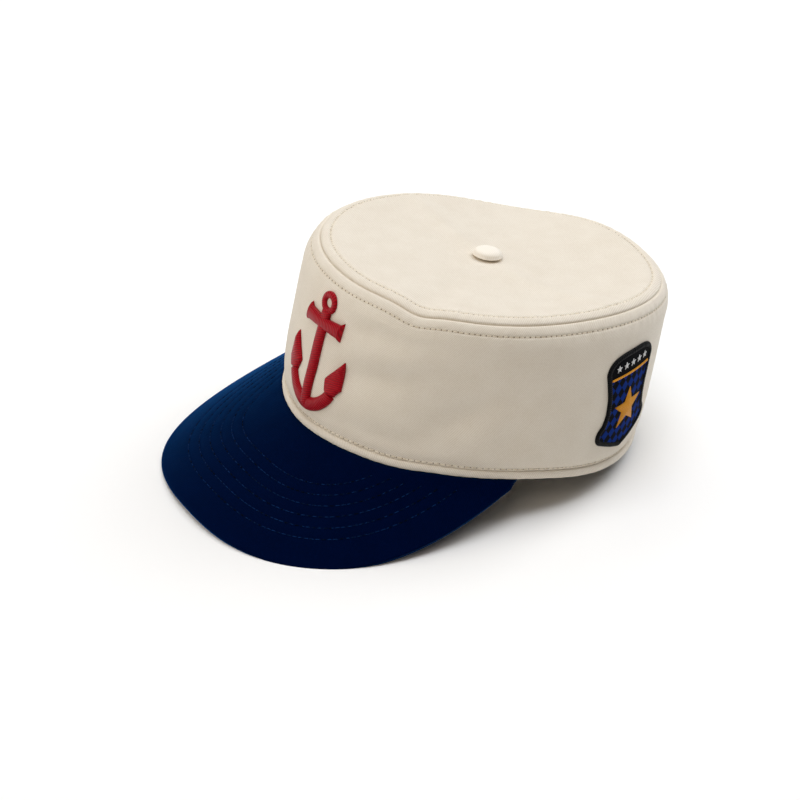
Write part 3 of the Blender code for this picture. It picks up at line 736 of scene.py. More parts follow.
# Top panel.
# An oval of the same twill that closes the crown. It sags a little, and a soft crease left by folding
# the cap runs across it under the button.
TOP_SAG = 0.0022
CREASE_HEIGHT = 0.0010
CREASE_HALF_WIDTH = 0.0070
CREASE_STRAIGHT = 0.0300
CREASE_SWEEP = 0.0210
BUTTON_RADIUS = 0.0077
BUTTON_HEIGHT = 0.0045
BUTTON_SEAT = 1.25
TOP_COARSE_STEP = 0.0016
TOP_GRID_REACH = 0.94
TOP_PUCKER_START = 0.2
TOP_EDGE_FADE = 6


def crease_line(x):
    """How far back of the button the top's crease lies: straight, then swept back on the left."""
    beyond = np.clip(x - CREASE_STRAIGHT, 0, None) / (SEAM_HALF_WIDTH - CREASE_STRAIGHT)
    return CREASE_SWEEP * beyond**1.2


def top(turn, reach):
    """Outer face of the top panel at a turn and a reach share from the button to the seam."""
    turn, reach = np.broadcast_arrays(turn, reach)
    seam = seam_line(turn)
    from_middle = seam[..., :2] - np.array([0, SEAM_SHIFT_BACK])
    plan = from_middle * reach[..., None]
    inward = np.linalg.norm(from_middle, axis=-1) * (1 - reach)
    arc_reach = SHOULDER_RADIUS * math.cos(SEAM_TILT)
    lean = math.cos(SEAM_TILT) - np.clip(inward, 0, arc_reach) / SHOULDER_RADIUS
    drop = SHOULDER_RADIUS * (1 - np.sqrt(1 - lean * lean))
    rim_z = seam[..., 2] + SHOULDER_RADIUS * (1 - math.sin(SEAM_TILT))
    middle_z = CROWN_HEIGHT - TOP_SAG
    z = middle_z + (rim_z - middle_z) * reach**2 - drop
    clear = np.clip(np.linalg.norm(plan, axis=-1) / (BUTTON_SEAT * BUTTON_RADIUS) - 1, 0, 1)
    edge = np.clip((1 - reach) * TOP_EDGE_FADE, 0, 1)
    ridge = np.exp(-(((plan[..., 1] - crease_line(plan[..., 0])) / CREASE_HALF_WIDTH) ** 2))
    z = z + CREASE_HEIGHT * ridge * clear * edge
    return np.stack([plan[..., 0], plan[..., 1] + SEAM_SHIFT_BACK, z], axis=-1)


def top_inward(from_seam):
    """Level distance from the seam at a distance along the cloth of the rounded rim."""
    rim_angle = math.pi / 2 - SEAM_TILT
    bend = SHOULDER_RADIUS * rim_angle
    angle = rim_angle - np.clip(from_seam, 0, bend) / SHOULDER_RADIUS
    return SHOULDER_RADIUS * (math.sin(rim_angle) - np.sin(angle)) + np.clip(from_seam - bend, 0, None)


reach_length = np.linalg.norm(seam_line(turns)[:, :2] - np.array([0, SEAM_SHIFT_BACK]), axis=-1)
inside = steps_from_seam(reach_length.min() * TOP_GRID_REACH, TOP_COARSE_STEP)
level = top_inward(inside)
fade = (level / level[-1]) ** 2
spread = 1 + fade[:, None] * (reach_length[None, :] * TOP_GRID_REACH / level[-1] - 1)
reaches = 1 - level[:, None] / reach_length[None, :] * spread
reaches = np.concatenate([reaches, np.zeros((1, len(turns)))])
inside = np.append(inside, reach_length.mean())
top_turn = turns[None, :-1] + 0 * reaches[:, :-1]
top_face = top(top_turn, reaches[:, :-1])
top_normal = -normal_of(top, top_turn, np.clip(reaches[:, :-1], 0.02, 1))
top_normal[-1] = (0, 0, 1)
top_relief = row_relief(along_wall[None, :-1] + TOP_PUCKER_START, inside[:, None], TOP_ROW_INSIDE)
top_outer = top_face + top_normal * top_relief[..., None]
top_inner_rows = np.arange(0, len(inside) - 1, INNER_ROW_STEP)
top_inner_rows = np.append(top_inner_rows, len(inside) - 1)
top_inner = top_face[top_inner_rows] - top_normal[top_inner_rows] * CLOTH_THICKNESS
top_points = np.concatenate([top_outer[::-1], top_inner])
plan_places = np.concatenate([top_face[::-1], top_face[top_inner_rows]])
plan_places = np.concatenate([plan_places, plan_places[:, :1]], axis=1)
top_inside = np.concatenate([inside[::-1], inside[top_inner_rows] + INNER_PLACE])
top_stitches = third(stitches_along[None, :], top_inside[:, None] - TOP_ROW_INSIDE)
top_panel = woven("crown_top", top_points, plan_places, False, True, top_stitches)


def top_row_place(count):
    """Cloth points and normals along the top's row of stitches."""
    turn = np.interp(count, stitches_along, turns)
    reach = 1 - top_inward(TOP_ROW_INSIDE) / np.interp(turn, turns, reach_length)
    normal = -normal_of(top, turn, reach)
    along = np.interp(turn, turns, along_wall) + TOP_PUCKER_START
    lift = row_relief(along, TOP_ROW_INSIDE, TOP_ROW_INSIDE)
    return top(turn, reach) + normal * lift[..., None], normal


top_panel.data.materials.append(cream_twill)
top_row = thread_rows("top_stitches", stitch_count, top_row_place, SEAM_THREAD_RADIUS)
top_row.data.materials.append(cream_thread)
for piece in (top_panel, top_row):
    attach(piece, "root")
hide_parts("top_panel")

# Rolled hem.
# The foot of the wall is bound with a folded strip of the same twill, which makes a round roll. It is
# sewn on in the ditch above the roll.
HEM_THICKNESS = 0.0034
HEM_SECTION_POINTS = 24
HEM_SECTION_SQUARENESS = 2.1
HEM_ROPE = 0.00008
HEM_ROPE_PITCH = 0.0061
HEM_ROPE_SLANT = 1.2
HEM_WAVE_RATE = 410
HEM_WAVE_WANDER_RATE = 50
HEM_THREAD_RADIUS = 0.0003


def hem_point(turn, out, up):
    """Point of the hem's roll, out from the hem line and up along the wall's lean."""
    foot = hem_line(turn)
    lean = (seam_line(turn) - foot) * ((up + hem_lift(turn)) / CROWN_HEIGHT)[..., None]
    return foot + lean + outward(turn) * out[..., None]


def press_flat(piece):
    """Presses flat what would reach below the table."""
    for vertex in piece.data.vertices:
        vertex.co.z = max(vertex.co.z, 0)


section_angle = np.linspace(0, math.tau, HEM_SECTION_POINTS, endpoint=False)
section_out, section_up = superellipse(section_angle, 0.5, 0.5, HEM_SECTION_SQUARENESS)
hem_turn = turns[None, :-1] + 0 * section_angle[:, None]
along_hem = along_wall[None, :-1]
rope = np.sin(along_hem * math.tau / HEM_ROPE_PITCH + section_angle[:, None] * HEM_ROPE_SLANT)
rope = rope + np.sin(along_hem * HEM_WAVE_RATE + 2 * np.sin(along_hem * HEM_WAVE_WANDER_RATE))
hem_out = (section_out[:, None] - 0.5) * HEM_THICKNESS + HEM_ROPE * rope * section_out[:, None]
hem_up = (section_up[:, None] + 0.5) * HEM_ROLL + HEM_ROPE * rope * section_up[:, None]
hem_points = hem_point(hem_turn, hem_out, hem_up)
round_hem = np.linspace(0, 2 * (HEM_THICKNESS + HEM_ROLL), HEM_SECTION_POINTS + 1)
hem_places = third(along_wall[None, :], round_hem[:, None])
hem_roll = woven("hem_roll", hem_points, hem_places, True, True)
press_flat(hem_roll)
hem_roll.data.materials.append(cream_twill)
hem_row = thread_rows(
    "hem_stitches", stitch_count, wall_row_at(wall_length - HEM_ROW_ABOVE), HEM_THREAD_RADIUS
)
hem_row.data.materials.append(cream_thread)
for piece in (hem_roll, hem_row):
    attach(piece, "root")
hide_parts("rolled_hem")

# Brim.
# A stiff board between two covers of navy twill, curved down at the sides and sewn through in rows
# that follow its edge.
BRIM_HALF_WIDTH = 0.0904
BRIM_ROOT_BACK = 0.0639
BRIM_REACH = 0.0609
BRIM_SQUARENESS = 2.27
BRIM_FLARE = 0.172
BRIM_SHIFT = 0.0010
BRIM_FRONT_SLOPE = math.radians(30.6)
BRIM_SIDE_SLOPE = math.radians(41.0)
BRIM_THICKNESS = 0.0030
BRIM_END_THICKNESS = 0.0008
BRIM_END_TAPER = 0.35
BRIM_END_BACK = 0.0068
BRIM_END_IN = 0.0040
BRIM_END_TURN = math.radians(74.6)
BRIM_END_ROWS = 8
BRIM_END_CURVE = 1.6
BRIM_TUCK = 0.0050
BRIM_TURN_UP = 0.0040
BRIM_GAP = 0.0003
EDGE_SHARE = 0.4
EDGE_SQUARENESS = 0.6
BRIM_STATIONS = 360
BRIM_ROWS = 84
BRIM_UNDER_ROWS = 40
EDGE_POINTS = 7
BRIM_ROW_FIRST = 0.01365
BRIM_ROW_PITCH = 0.00523
BRIM_ROW_COUNT = 6
BRIM_ROW_CLEAR = 0.004
BRIM_PUFF = 0.00016
BRIM_THREAD_RADIUS = 0.00022


def nearest_turn(points):
    """Turn of the hem point nearest to each plan point."""
    turn = np.arctan2(points[..., 0], -points[..., 1])
    for _ in range(16):
        here = hem_line(turn)[..., :2]
        step = 0.002
        speed = (hem_line(turn + step)[..., :2] - hem_line(turn - step)[..., :2]) / (2 * step)
        off = points - here
        distance = np.linalg.norm(off, axis=-1)
        move = np.sum(off * speed, axis=-1) / np.sum(speed * speed, axis=-1)
        turn = turn + move / (1 + distance / HEM_HALF_LENGTH)
    return turn


def brim_height(points):
    """Height of the brim's upper face: level under the hem, falling away as a cone outside it."""
    turn = nearest_turn(points)
    foot = hem_line(turn)
    away = np.sum((points - foot[..., :2]) * outward(turn)[..., :2], axis=-1)
    slope = BRIM_FRONT_SLOPE + (BRIM_SIDE_SLOPE - BRIM_FRONT_SLOPE) * np.sin(turn) ** 2
    away = np.maximum(away, 0)
    turned_up = hem_lift(turn) * np.exp(-away / BRIM_TURN_UP)
    return foot[..., 2] + turned_up - BRIM_GAP - np.tan(slope) * away


def brim_face(points):
    """Upper face of the brim over plan points, with its upward normals."""
    step = 0.0004
    z = brim_height(points)
    slope_x = (brim_height(points + [step, 0]) - brim_height(points - [step, 0])) / (2 * step)
    slope_y = (brim_height(points + [0, step]) - brim_height(points - [0, step])) / (2 * step)
    normal = unit(np.stack([-slope_x, -slope_y, np.ones_like(z)], axis=-1))
    return np.concatenate([points, z[..., None]], axis=-1), normal


def brim_outline(share):
    """Plan line of the brim's edge. Share runs from -1 at one root, over 0 at the tip, to 1."""
    root_y = -HEM_HALF_LENGTH + BRIM_ROOT_BACK
    length = BRIM_ROOT_BACK + BRIM_REACH
    x, y = superellipse(share * math.pi / 2, BRIM_HALF_WIDTH, length, BRIM_SQUARENESS)
    x = x * (1 - BRIM_FLARE * y / length) + BRIM_SHIFT * smooth_step(np.abs(share), 0.2, 0.7)
    return np.stack([x, root_y + y], axis=-1)


fine_edge = brim_outline(np.sin(np.linspace(-1, 1, 2400) * math.pi / 2))
edge_run = np.gradient(fine_edge, axis=0)
edge_inward = unit(np.stack([-edge_run[:, 1], edge_run[:, 0]], axis=-1))


def from_edge(points):
    """Level distance of plan points from the brim's edge."""
    flat = points.reshape(-1, 2)
    nearest = [np.min(np.sum((fine_edge[::4] - point) ** 2, axis=1)) for point in flat]
    return np.sqrt(np.array(nearest)).reshape(points.shape[:-1])


def brim_relief(points):
    """Height of the cloth between and on the rows of stitches."""
    rows_in = (from_edge(points) - BRIM_ROW_FIRST) / BRIM_ROW_PITCH
    between = np.clip(rows_in, -0.6, BRIM_ROW_COUNT - 0.4)
    wave = np.abs(np.sin(math.pi * between)) ** 0.6
    fade = np.clip(1.6 - np.abs(between - rows_in), 0, 1)
    return BRIM_PUFF * wave * fade


def edge_row_place(row):
    """Place function for one row of stitches along the brim, and how many stitches it has."""
    path = fine_edge + edge_inward * (BRIM_ROW_FIRST + row * BRIM_ROW_PITCH)
    turn = nearest_turn(path)
    clear = np.sum((path - hem_line(turn)[:, :2]) * outward(turn)[:, :2], axis=-1)
    path = path[clear > BRIM_ROW_CLEAR]
    run = run_along(path)
    count = int(run[-1] / STITCH_PITCH)

    def place(number):
        x = np.interp(number * STITCH_PITCH, run, path[:, 0])
        y = np.interp(number * STITCH_PITCH, run, path[:, 1])
        return brim_face(np.stack([x, y], axis=-1))

    return place, count


def close_ends(piece):
    """Fills the open ends of a piece."""
    shape = bmesh.new()
    shape.from_mesh(piece.data)
    bmesh.ops.holes_fill(shape, edges=[e for e in shape.edges if e.is_boundary], sides=0)
    bmesh.ops.recalc_face_normals(shape, faces=shape.faces)
    shape.to_mesh(piece.data)
    shape.free()


root_along = (HEM_HALF_LENGTH - BRIM_ROOT_BACK) / HEM_HALF_LENGTH
brim_root_turn = math.acos(root_along ** (HEM_SQUARENESS / 2))
share = np.sin(np.linspace(-1, 1, BRIM_STATIONS + 1) * math.pi / 2)
closing = np.linspace(0, 1, BRIM_END_ROWS + 1)[1:]
station_turn = share * brim_root_turn
end_turn = brim_root_turn + (BRIM_END_TURN - brim_root_turn) * closing
station_turn = np.concatenate([-end_turn[::-1], station_turn, end_turn])
line = hem_line(station_turn)[:, :2]
out = outward(station_turn)[:, :2]
edge = brim_outline(share)
end_in = BRIM_END_IN * closing**BRIM_END_CURVE
right_end = edge[0] + np.stack([end_in, BRIM_END_BACK * closing], axis=-1)
left_end = edge[-1] + np.stack([-end_in, BRIM_END_BACK * closing], axis=-1)
edge = np.concatenate([right_end[::-1], edge, left_end])
beyond = np.sum((edge - line) * out, axis=-1)
root = line - out * BRIM_TUCK
span = np.linalg.norm(edge - root, axis=-1)
across = (edge - root) / span[:, None]
thickness = BRIM_END_THICKNESS + BRIM_END_TAPER * np.maximum(beyond, 0)
thickness = np.minimum(BRIM_THICKNESS, thickness)
rounding = np.minimum(thickness / 2, span * EDGE_SHARE)[:, None]
shoulder = edge - across * rounding
top_share = np.linspace(0, 1, BRIM_ROWS)[:, None, None]
upper_plan = root[None] + (shoulder - root)[None] * top_share
upper_face, upper_normal = brim_face(upper_plan)
upper = upper_face + upper_normal * brim_relief(upper_plan)[..., None]
edge_face, edge_normal = brim_face(shoulder)
edge_out = np.concatenate([across, np.zeros((len(across), 1))], axis=-1)
edge_out = unit(edge_out - edge_normal * np.sum(edge_out * edge_normal, axis=-1, keepdims=True))
rim = []
for angle in np.linspace(0, math.pi, EDGE_POINTS + 2)[1:-1]:
    upright = math.copysign(abs(math.cos(angle)) ** EDGE_SQUARENESS, math.cos(angle))
    rise = edge_normal * (thickness / 2 * (upright - 1))[:, None]
    rim.append(edge_face + rise + edge_out * rounding * math.sin(angle) ** EDGE_SQUARENESS)
under_share = np.linspace(1, 0, BRIM_UNDER_ROWS)[:, None, None]
under_plan = root[None] + (shoulder - root)[None] * under_share
under_face, under_normal = brim_face(under_plan)
under = under_face - under_normal * (thickness[None, :] + brim_relief(under_plan))[..., None]
brim_points = np.concatenate([upper, np.stack(rim), under])
brim_places = np.concatenate([brim_points, brim_points[:1]])
brim = woven("stitched_brim", brim_points, brim_places, True, False)
press_flat(brim)
close_ends(brim)

# Navy twill is piece-dyed, so it is dark and even, with a blue sheen where light grazes it.
navy_twill = twill(
    "navy_cotton_twill",
    "#000A2E",
    "#000312",
    0.8,
    TWILL_RELIEF,
    False,
    Specular_IOR_Level=0.03,
    Specular_Tint=(*linear("#003C8C"), 1),
    Sheen_Weight=1.0,
    Sheen_Roughness=0.35,
    Sheen_Tint=(*linear("#0072CC"), 1),
)
# Its thread is a little lighter than the cloth, and painted nearly black in random stitches as the shade
# of stitches sunk into their holes.
navy_thread = thread("navy_polyester_thread", "#0C2A58", "#000410", 0.7, Specular_IOR_Level=0.04)
brim.data.materials.append(navy_twill)
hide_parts("brim")
brim_pieces = [brim]
for row in range(BRIM_ROW_COUNT):
    place, count = edge_row_place(row)
    stitches = thread_rows(f"brim_stitches_{row + 1}", count, place, BRIM_THREAD_RADIUS)
    stitches.data.materials.append(navy_thread)
    brim_pieces.append(stitches)
for piece in brim_pieces:
    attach(piece, "root")

# Covered button.
# A metal shell covered with the crown's twill, drawn together underneath, that holds the middle of
# the top panel. Its edge stands a little off the cloth.
BUTTON_COLUMNS = 96
BUTTON_OFF_MIDDLE = 0.0018
BUTTON_GATHER = 0.00016

# Button profile: out as a share of BUTTON_RADIUS, up as a share of BUTTON_HEIGHT
BUTTON_PROFILE = [
    (0.00, 1.060),
    (0.20, 1.055),
    (0.40, 1.035),
    (0.58, 0.990),
    (0.74, 0.910),
    (0.86, 0.790),
    (0.925, 0.640),
    (0.945, 0.500),
    (0.960, 0.410),
    (1.00, 0.360),
    (1.01, 0.290),
    (0.97, 0.230),
    (0.84, 0.190),
    (0.62, 0.060),
    (0.00, 0.060),
]
button_turn = np.linspace(0, math.tau, BUTTON_COLUMNS + 1)
profile_out, profile_up = np.array(BUTTON_PROFILE).T[:, :, None]
profile_out = profile_out * BUTTON_RADIUS
profile_up = profile_up * BUTTON_HEIGHT
low = np.clip(1 - profile_up / BUTTON_HEIGHT / 0.6, 0, 1) * (profile_out > BUTTON_RADIUS / 2)
gather = BUTTON_GATHER * np.sin(button_turn * 19 + 2 * np.sin(button_turn * 4))[None, :]
button_out = profile_out + gather * low
seat = top(np.array(0.0), np.array(0.0))
button_grid = np.stack(
    [
        button_out * np.sin(button_turn)[None, :] - BUTTON_OFF_MIDDLE,
        seat[1] - button_out * np.cos(button_turn)[None, :],
        seat[2] + SEAM_GAP + profile_up + 0 * button_out,
    ],
    axis=-1,
)
button = woven("covered_button", button_grid[:, :-1], button_grid, False, True)
# The cloth is pulled smooth over the shell, so its relief is finer; its colour is painted a shade lighter
# than the top, as painted light on the button.
painted_lighter_cream = twill(
    "painted_lighter_cream_cotton", "#FAF3E7", "#E8DDCB", 0.8, 0.00006, False, **COTTON_SHEEN
)
button.data.materials.append(painted_lighter_cream)
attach(button, "root")
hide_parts("top_button")

# Front emblem.
# A plain anchor in red satin stitch over padding. Each stroke is sewn by itself, with its threads
# lying across it, so it stands up round and catches the light.
EMBLEM_HEIGHT = 0.0630
EMBLEM_LIFT = 0.0410
EMBLEM_PAD = 0.0019
EMBLEM_STEP = 0.0005
SATIN_COLUMNS = 15
SATIN_SLANT = 0.35
SATIN_FOOT = 0.0001


def on_wall(u, v, turn, lift, lean=0.0):
    """Wall points and normals at places to the right of and above a middle, turned by the lean."""
    column = np.linalg.norm(seam_line(np.array(turn)) - hem_line(np.array(turn)))
    height = lift / column
    step = 0.01
    ahead = wall(np.array(turn + step), np.array(height))
    behind = wall(np.array(turn - step), np.array(height))
    speed = np.linalg.norm(ahead - behind) / (2 * step)
    turn_there = turn + (u * math.cos(lean) - v * math.sin(lean)) / speed
    height_there = height + (u * math.sin(lean) + v * math.cos(lean)) / column
    return wall(turn_there, height_there), normal_of(wall, turn_there, height_there)


def satin_stroke(name, nodes, place, pad, raised=0.0, ring=False):
    """Padded stroke of satin stitch along a line of nodes, each with its half width. Its corners
    keep their place along the stroke, for the threads."""
    nodes = np.array(nodes, dtype=float)
    run = run_along(nodes[:, :2])
    count = max(6, int(run[-1] / EMBLEM_STEP))
    along = np.linspace(0, run[-1], count + 1)
    x, y, half = (np.interp(along, run, nodes[:, i]) for i in range(3))
    slopes = []
    for line in (x, y):
        padded = np.pad(line, 2, "wrap" if ring else "edge")
        slope = np.gradient(np.convolve(padded, np.ones(5) / 5, "valid"))
        if ring:
            slope[[0, -1]] = (slope[1] + slope[-2]) / 2
        slopes.append(slope)
    length = np.hypot(slopes[0], slopes[1])
    side = np.sin(np.linspace(-1, 1, SATIN_COLUMNS) * math.pi / 2)
    u = x[:, None] - (slopes[1] / length)[:, None] * side[None, :] * half[:, None]
    v = y[:, None] + (slopes[0] / length)[:, None] * side[None, :] * half[:, None]
    if ring:
        end = np.ones_like(along)
    else:
        to_end = np.minimum(along, run[-1] - along)
        end = np.sqrt(1 - (1 - np.clip(to_end / (pad * 0.7), 0, 1)) ** 2)
    height = np.minimum(pad, half * 0.9)[:, None] * np.sqrt(1 - side[None, :] ** 2) ** 0.8
    height = height * end[:, None] + raised * end[:, None] + 2 * SATIN_FOOT
    face, normal = place(u, v)
    upper = face + normal * height[..., None]
    lower = (face + normal * SATIN_FOOT)[:, ::-1]
    grid = np.concatenate([upper, lower], axis=1)
    slanted = along[:, None] + SATIN_SLANT * side[None, :] * half[:, None]
    across_places = third(slanted, side[None, :] * half[:, None])
    places = np.concatenate([across_places, across_places[:, ::-1], across_places[:, :1]], axis=1)
    if ring:
        grid = grid[:-1]
    stroke = woven(name, grid, places, ring, True)
    close_ends(stroke)
    return stroke


def on_emblem(u, v):
    """Place on the wall for the emblem's own plane."""
    return on_wall(u, v, 0, EMBLEM_LIFT)


def arc(radius, middle, half_width, angles):
    """Nodes of a stroke along an arc round a place above the middle. The angle grows clockwise."""
    turned = [math.radians(degrees) for degrees in angles]
    return [(radius * math.sin(a), middle + radius * math.cos(a), half_width) for a in turned]


# Nodes of the strokes: right of the middle, above it, half width, all as shares of EMBLEM_HEIGHT
ring_nodes = arc(0.063, 0.410, 0.027, range(0, 361, 6))
arm_nodes = arc(-0.3275, -0.115, 0.0575, range(64, -65, -4))
shank_nodes = [(0, 0.355, 0.047), (0, -0.33, 0.056), (0, -0.47, 0.060)]
stock_nodes = [(-0.235, 0.2475, 0.078), (-0.20, 0.245, 0.055), (-0.05, 0.2425, 0.0475)]
stock_nodes = stock_nodes + [(-x, y, half) for x, y, half in reversed(stock_nodes)]
EMBLEM_STROKES = [
    # name, nodes, pad, raised over the strokes below
    ("ring", ring_nodes, EMBLEM_PAD * 0.8, 0.0),
    ("arms", arm_nodes, EMBLEM_PAD, 0.0),
    ("shank", shank_nodes, EMBLEM_PAD, 0.0004),
    ("stock", stock_nodes, EMBLEM_PAD, 0.0008),
]
for side_name, sign in (("left", 1), ("right", -1)):
    fluke_nodes = [(0.283, -0.268, 0.054), (0.2925, -0.180, 0.106), (0.345, 0.030, 0.004)]
    fluke_nodes = [(sign * x, y, half) for x, y, half in fluke_nodes]
    EMBLEM_STROKES.append((f"fluke_{side_name}", fluke_nodes, EMBLEM_PAD, 0.0004))
emblem_pieces = {}
for name, nodes, pad, raised in EMBLEM_STROKES:
    sized = np.array(nodes) * EMBLEM_HEIGHT
    piece = satin_stroke(f"emblem_{name}", sized, on_emblem, pad, raised, name == "ring")
    emblem_pieces[name] = piece


# Rayon thread is glossy and deep red, brightest where the padding turns it to the light. The real
# threads lie 0.4 mm apart and are drawn 1.2 mm apart, because finer ones would not show.
SATIN_PITCH = 0.0012
STRAND_STRETCH = 0.08
SATIN_RELIEF = 0.0003


def satin(name, colour, shade, roughness, bump, **sockets):
    """Rayon satin stitch: glossy threads side by side across the stroke, with painted shade between them.
    """
    material, tree, shader = surface(name, colour, roughness, **sockets)
    place = add(tree, "ShaderNodeAttribute", attribute_name="cloth_place").outputs["Vector"]
    rows = add(
        tree,
        "ShaderNodeTexWave",
        {"Vector": place, "Scale": math.tau / SATIN_PITCH / WAVE_RATE, "Distortion": 0.0},
        bands_direction="X",
    )
    finest = 1 / SATIN_PITCH
    strands = add(
        tree, "ShaderNodeMapping", {"Vector": place, "Scale": (finest, STRAND_STRETCH * finest, finest)}
    )
    uneven = add(
        tree, "ShaderNodeTexNoise", {"Vector": strands.outputs["Vector"], "Scale": 0.9, "Detail": 2.0}
    )
    height = add(
        tree,
        "ShaderNodeMix",
        {"Factor": 0.4, "A": rows.outputs["Fac"], "B": uneven.outputs["Fac"]},
        data_type="FLOAT",
    ).outputs["Result"]
    # Painted shade: the grooves between the threads are coloured darker
    painted_groove_shade = add(
        tree,
        "ShaderNodeMapRange",
        {"Value": height, "From Min": 0.15, "From Max": 0.8, "To Min": 1.0, "To Max": 0.0},
    )
    share = painted_groove_shade.outputs["Result"]
    cloth_surface(tree, shader, share, colour, shade, height, bump, SATIN_RELIEF)
    return material


red_satin = satin(
    "red_rayon_satin_stitch",
    "#B0081C",
    "#7C0412",
    0.4,
    0.8,
    Specular_IOR_Level=0.35,
    Specular_Tint=(*linear("#FF9090"), 1),
)
for piece in emblem_pieces.values():
    piece.data.materials.append(red_satin)
    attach(piece, "root")
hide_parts("front_emblem")

# Side badge.
# A woven crest of navy and black checks on a twill ground, cut out and overlocked with thick black
# thread, then sewn to the wall. A gold bar, a gold star and small white stars are embroidered on it.
BADGE_WIDTH = 0.0412
BADGE_HEIGHT = 0.0542
BADGE_LIFT = 0.0394
BADGE_TURN = math.radians(109.3)
BADGE_LEAN = math.radians(7.4)
BADGE_FIELD_RISE = 0.0007
BORDER_WIDTH = 0.0026
BORDER_RISE = 0.0013
BORDER_STEP = 0.0006
BORDER_STITCH = 0.0011
BORDER_UNEVEN = 0.05
BORDER_PLACE_STEP = 0.0003
FIELD_RINGS = 14
CHECK_WIDTH = 0.0034
JACQUARD_RIB = 0.0006
BADGE_BAR_AT = 0.0150
BADGE_BAR_HALF_LENGTH = 0.0148
BADGE_BAR_HALF_WIDTH = 0.0006
BADGE_BAR_PAD = 0.0005
BADGE_STAR_AT = -0.0045
BADGE_STAR_RADIUS = 0.0112
BADGE_STAR_RISE = 0.0012
SMALL_STAR_AT = 0.0199
SMALL_STAR_PITCH = 0.0052
SMALL_STAR_RADIUS = 0.0020
SMALL_STAR_RISE = 0.0004
STAR_WAIST = 0.42
THIN = 0.0001


def crest_outline():
    """Right half of a plain crest, as shares of the badge's half width and half height."""
    points = []
    for degrees in range(0, 81, 5):
        x, y = superellipse(math.radians(degrees), 0.89, 0.45, 3.0)
        points.append((x, 0.55 - y))
    points += [(0.84, 0.50), (0.77, 0.18), (0.77, -0.12), (0.84, -0.33)]
    for degrees in range(35, -71, -15):
        angle = math.radians(degrees)
        points.append((0.80 + 0.20 * math.cos(angle), -0.55 + 0.20 * math.sin(angle)))
    points += [(0.38, -0.90), (0.0, -1.0)]
    return points


def on_badge(u, v):
    """Place on the wall for the badge's own plane."""
    return on_wall(u, v, BADGE_TURN, BADGE_LIFT, BADGE_LEAN)


right_half = [(x * BADGE_WIDTH / 2, y * BADGE_HEIGHT / 2) for x, y in crest_outline()]
left_half = [(-x, y) for x, y in reversed(right_half) if x > 0]
corners = np.array(right_half + left_half + right_half[:1])
corner_run = run_along(corners)
border_count = int(corner_run[-1] / BORDER_STEP)
border_at = np.linspace(0, corner_run[-1], border_count, endpoint=False)
crest = np.stack([np.interp(border_at, corner_run, corners[:, i]) for i in (0, 1)], axis=-1)
for _ in range(3):
    crest = (np.roll(crest, 1, axis=0) + 2 * crest + np.roll(crest, -1, axis=0)) / 4
crest_run = (np.roll(crest, -2, axis=0) - np.roll(crest, 2, axis=0)) / 2
crest_inward = unit(np.stack([crest_run[:, 1], -crest_run[:, 0]], axis=-1))

border_angle = np.linspace(0, math.pi, 11)
border_in = BORDER_WIDTH * (1 - np.cos(border_angle)) / 2
border_rise = BORDER_RISE * np.sin(border_angle) ** 0.7 + THIN
plan = crest[:, None, :] + crest_inward[:, None, :] * border_in[None, :, None]
face, normal = on_badge(plan[..., 0], plan[..., 1])
stitched = 1 + BORDER_UNEVEN * np.sin(border_at * math.tau / BORDER_STITCH)[:, None]
upper = face + normal * (border_rise[None, :] * stitched)[..., None]
lower = (face + normal * THIN)[:, ::-1][:, 1:-1]
border_grid = np.concatenate([upper, lower], axis=1)
border_along = np.append(border_at, corner_run[-1])
border_across = np.arange(border_grid.shape[1] + 1) * BORDER_PLACE_STEP
border_places = third(border_along[:, None], border_across[None, :])
border = woven("badge_border", border_grid, border_places, True, True)
# Black overlock thread is dull, and shows as close ribs across the badge's edge.
border.data.materials.append(
    satin("black_overlock_stitch", "#08090C", "#020203", 0.55, 0.8, Specular_IOR_Level=0.10)
)

field_edge = crest + crest_inward * BORDER_WIDTH * 0.8
ring_share = np.sqrt(np.linspace(0, 1, FIELD_RINGS))
plan = field_edge[None, :, :] * ring_share[:, None, None]
plan = np.concatenate([plan, plan[:, :1]], axis=1)
face, normal = on_badge(plan[..., 0], plan[..., 1])
upper = face + normal * BADGE_FIELD_RISE
lower = (face + normal * THIN)[::-1]
field_grid = np.concatenate([upper, lower])[:, :-1]
plan = np.concatenate([plan, plan[::-1]])
field = woven("badge_field", field_grid, third(plan[..., 0], plan[..., 1]), False, True)

# The jacquard is a dull weave of navy and black checks, 3.4 mm wide, with fine ribs. A black band, the
# ground of the small stars, lies above the bar.
jacquard, tree, shader = surface("navy_and_black_jacquard", "#0A1A5C", 0.7, Specular_IOR_Level=0.04)
place = add(tree, "ShaderNodeAttribute", attribute_name="cloth_place").outputs["Vector"]
turned = add(
    tree,
    "ShaderNodeMapping",
    {"Vector": place, "Rotation": (0, 0, math.radians(45)), "Scale": (1.0, 0.8, 1.0)},
)
two_blues = {"Color1": (*linear("#042A78"), 1), "Color2": (*linear("#04050A"), 1)}
checks = add(
    tree,
    "ShaderNodeTexChecker",
    {"Vector": turned.outputs["Vector"], "Scale": 1 / CHECK_WIDTH, **two_blues},
)
parts = add(tree, "ShaderNodeSeparateXYZ", {"Vector": place})
band = add(tree, "ShaderNodeMath", {0: parts.outputs["Y"], 1: BADGE_BAR_AT}, operation="GREATER_THAN")
ground = add(
    tree,
    "ShaderNodeMix",
    {"Factor": band.outputs[0], "A": checks.outputs["Color"], "B": (*linear("#06070B"), 1)},
    data_type="RGBA",
)
tree.links.new(ground.outputs["Result"], shader.inputs["Base Color"])
ribs = add(tree, "ShaderNodeTexNoise", {"Vector": place, "Scale": 1 / JACQUARD_RIB, "Detail": 2.0})
raised = add(
    tree, "ShaderNodeBump", {"Height": ribs.outputs["Fac"], "Strength": 0.6, "Distance": 0.0002}
)
tree.links.new(raised.outputs["Normal"], shader.inputs["Normal"])
field.data.materials.append(jacquard)


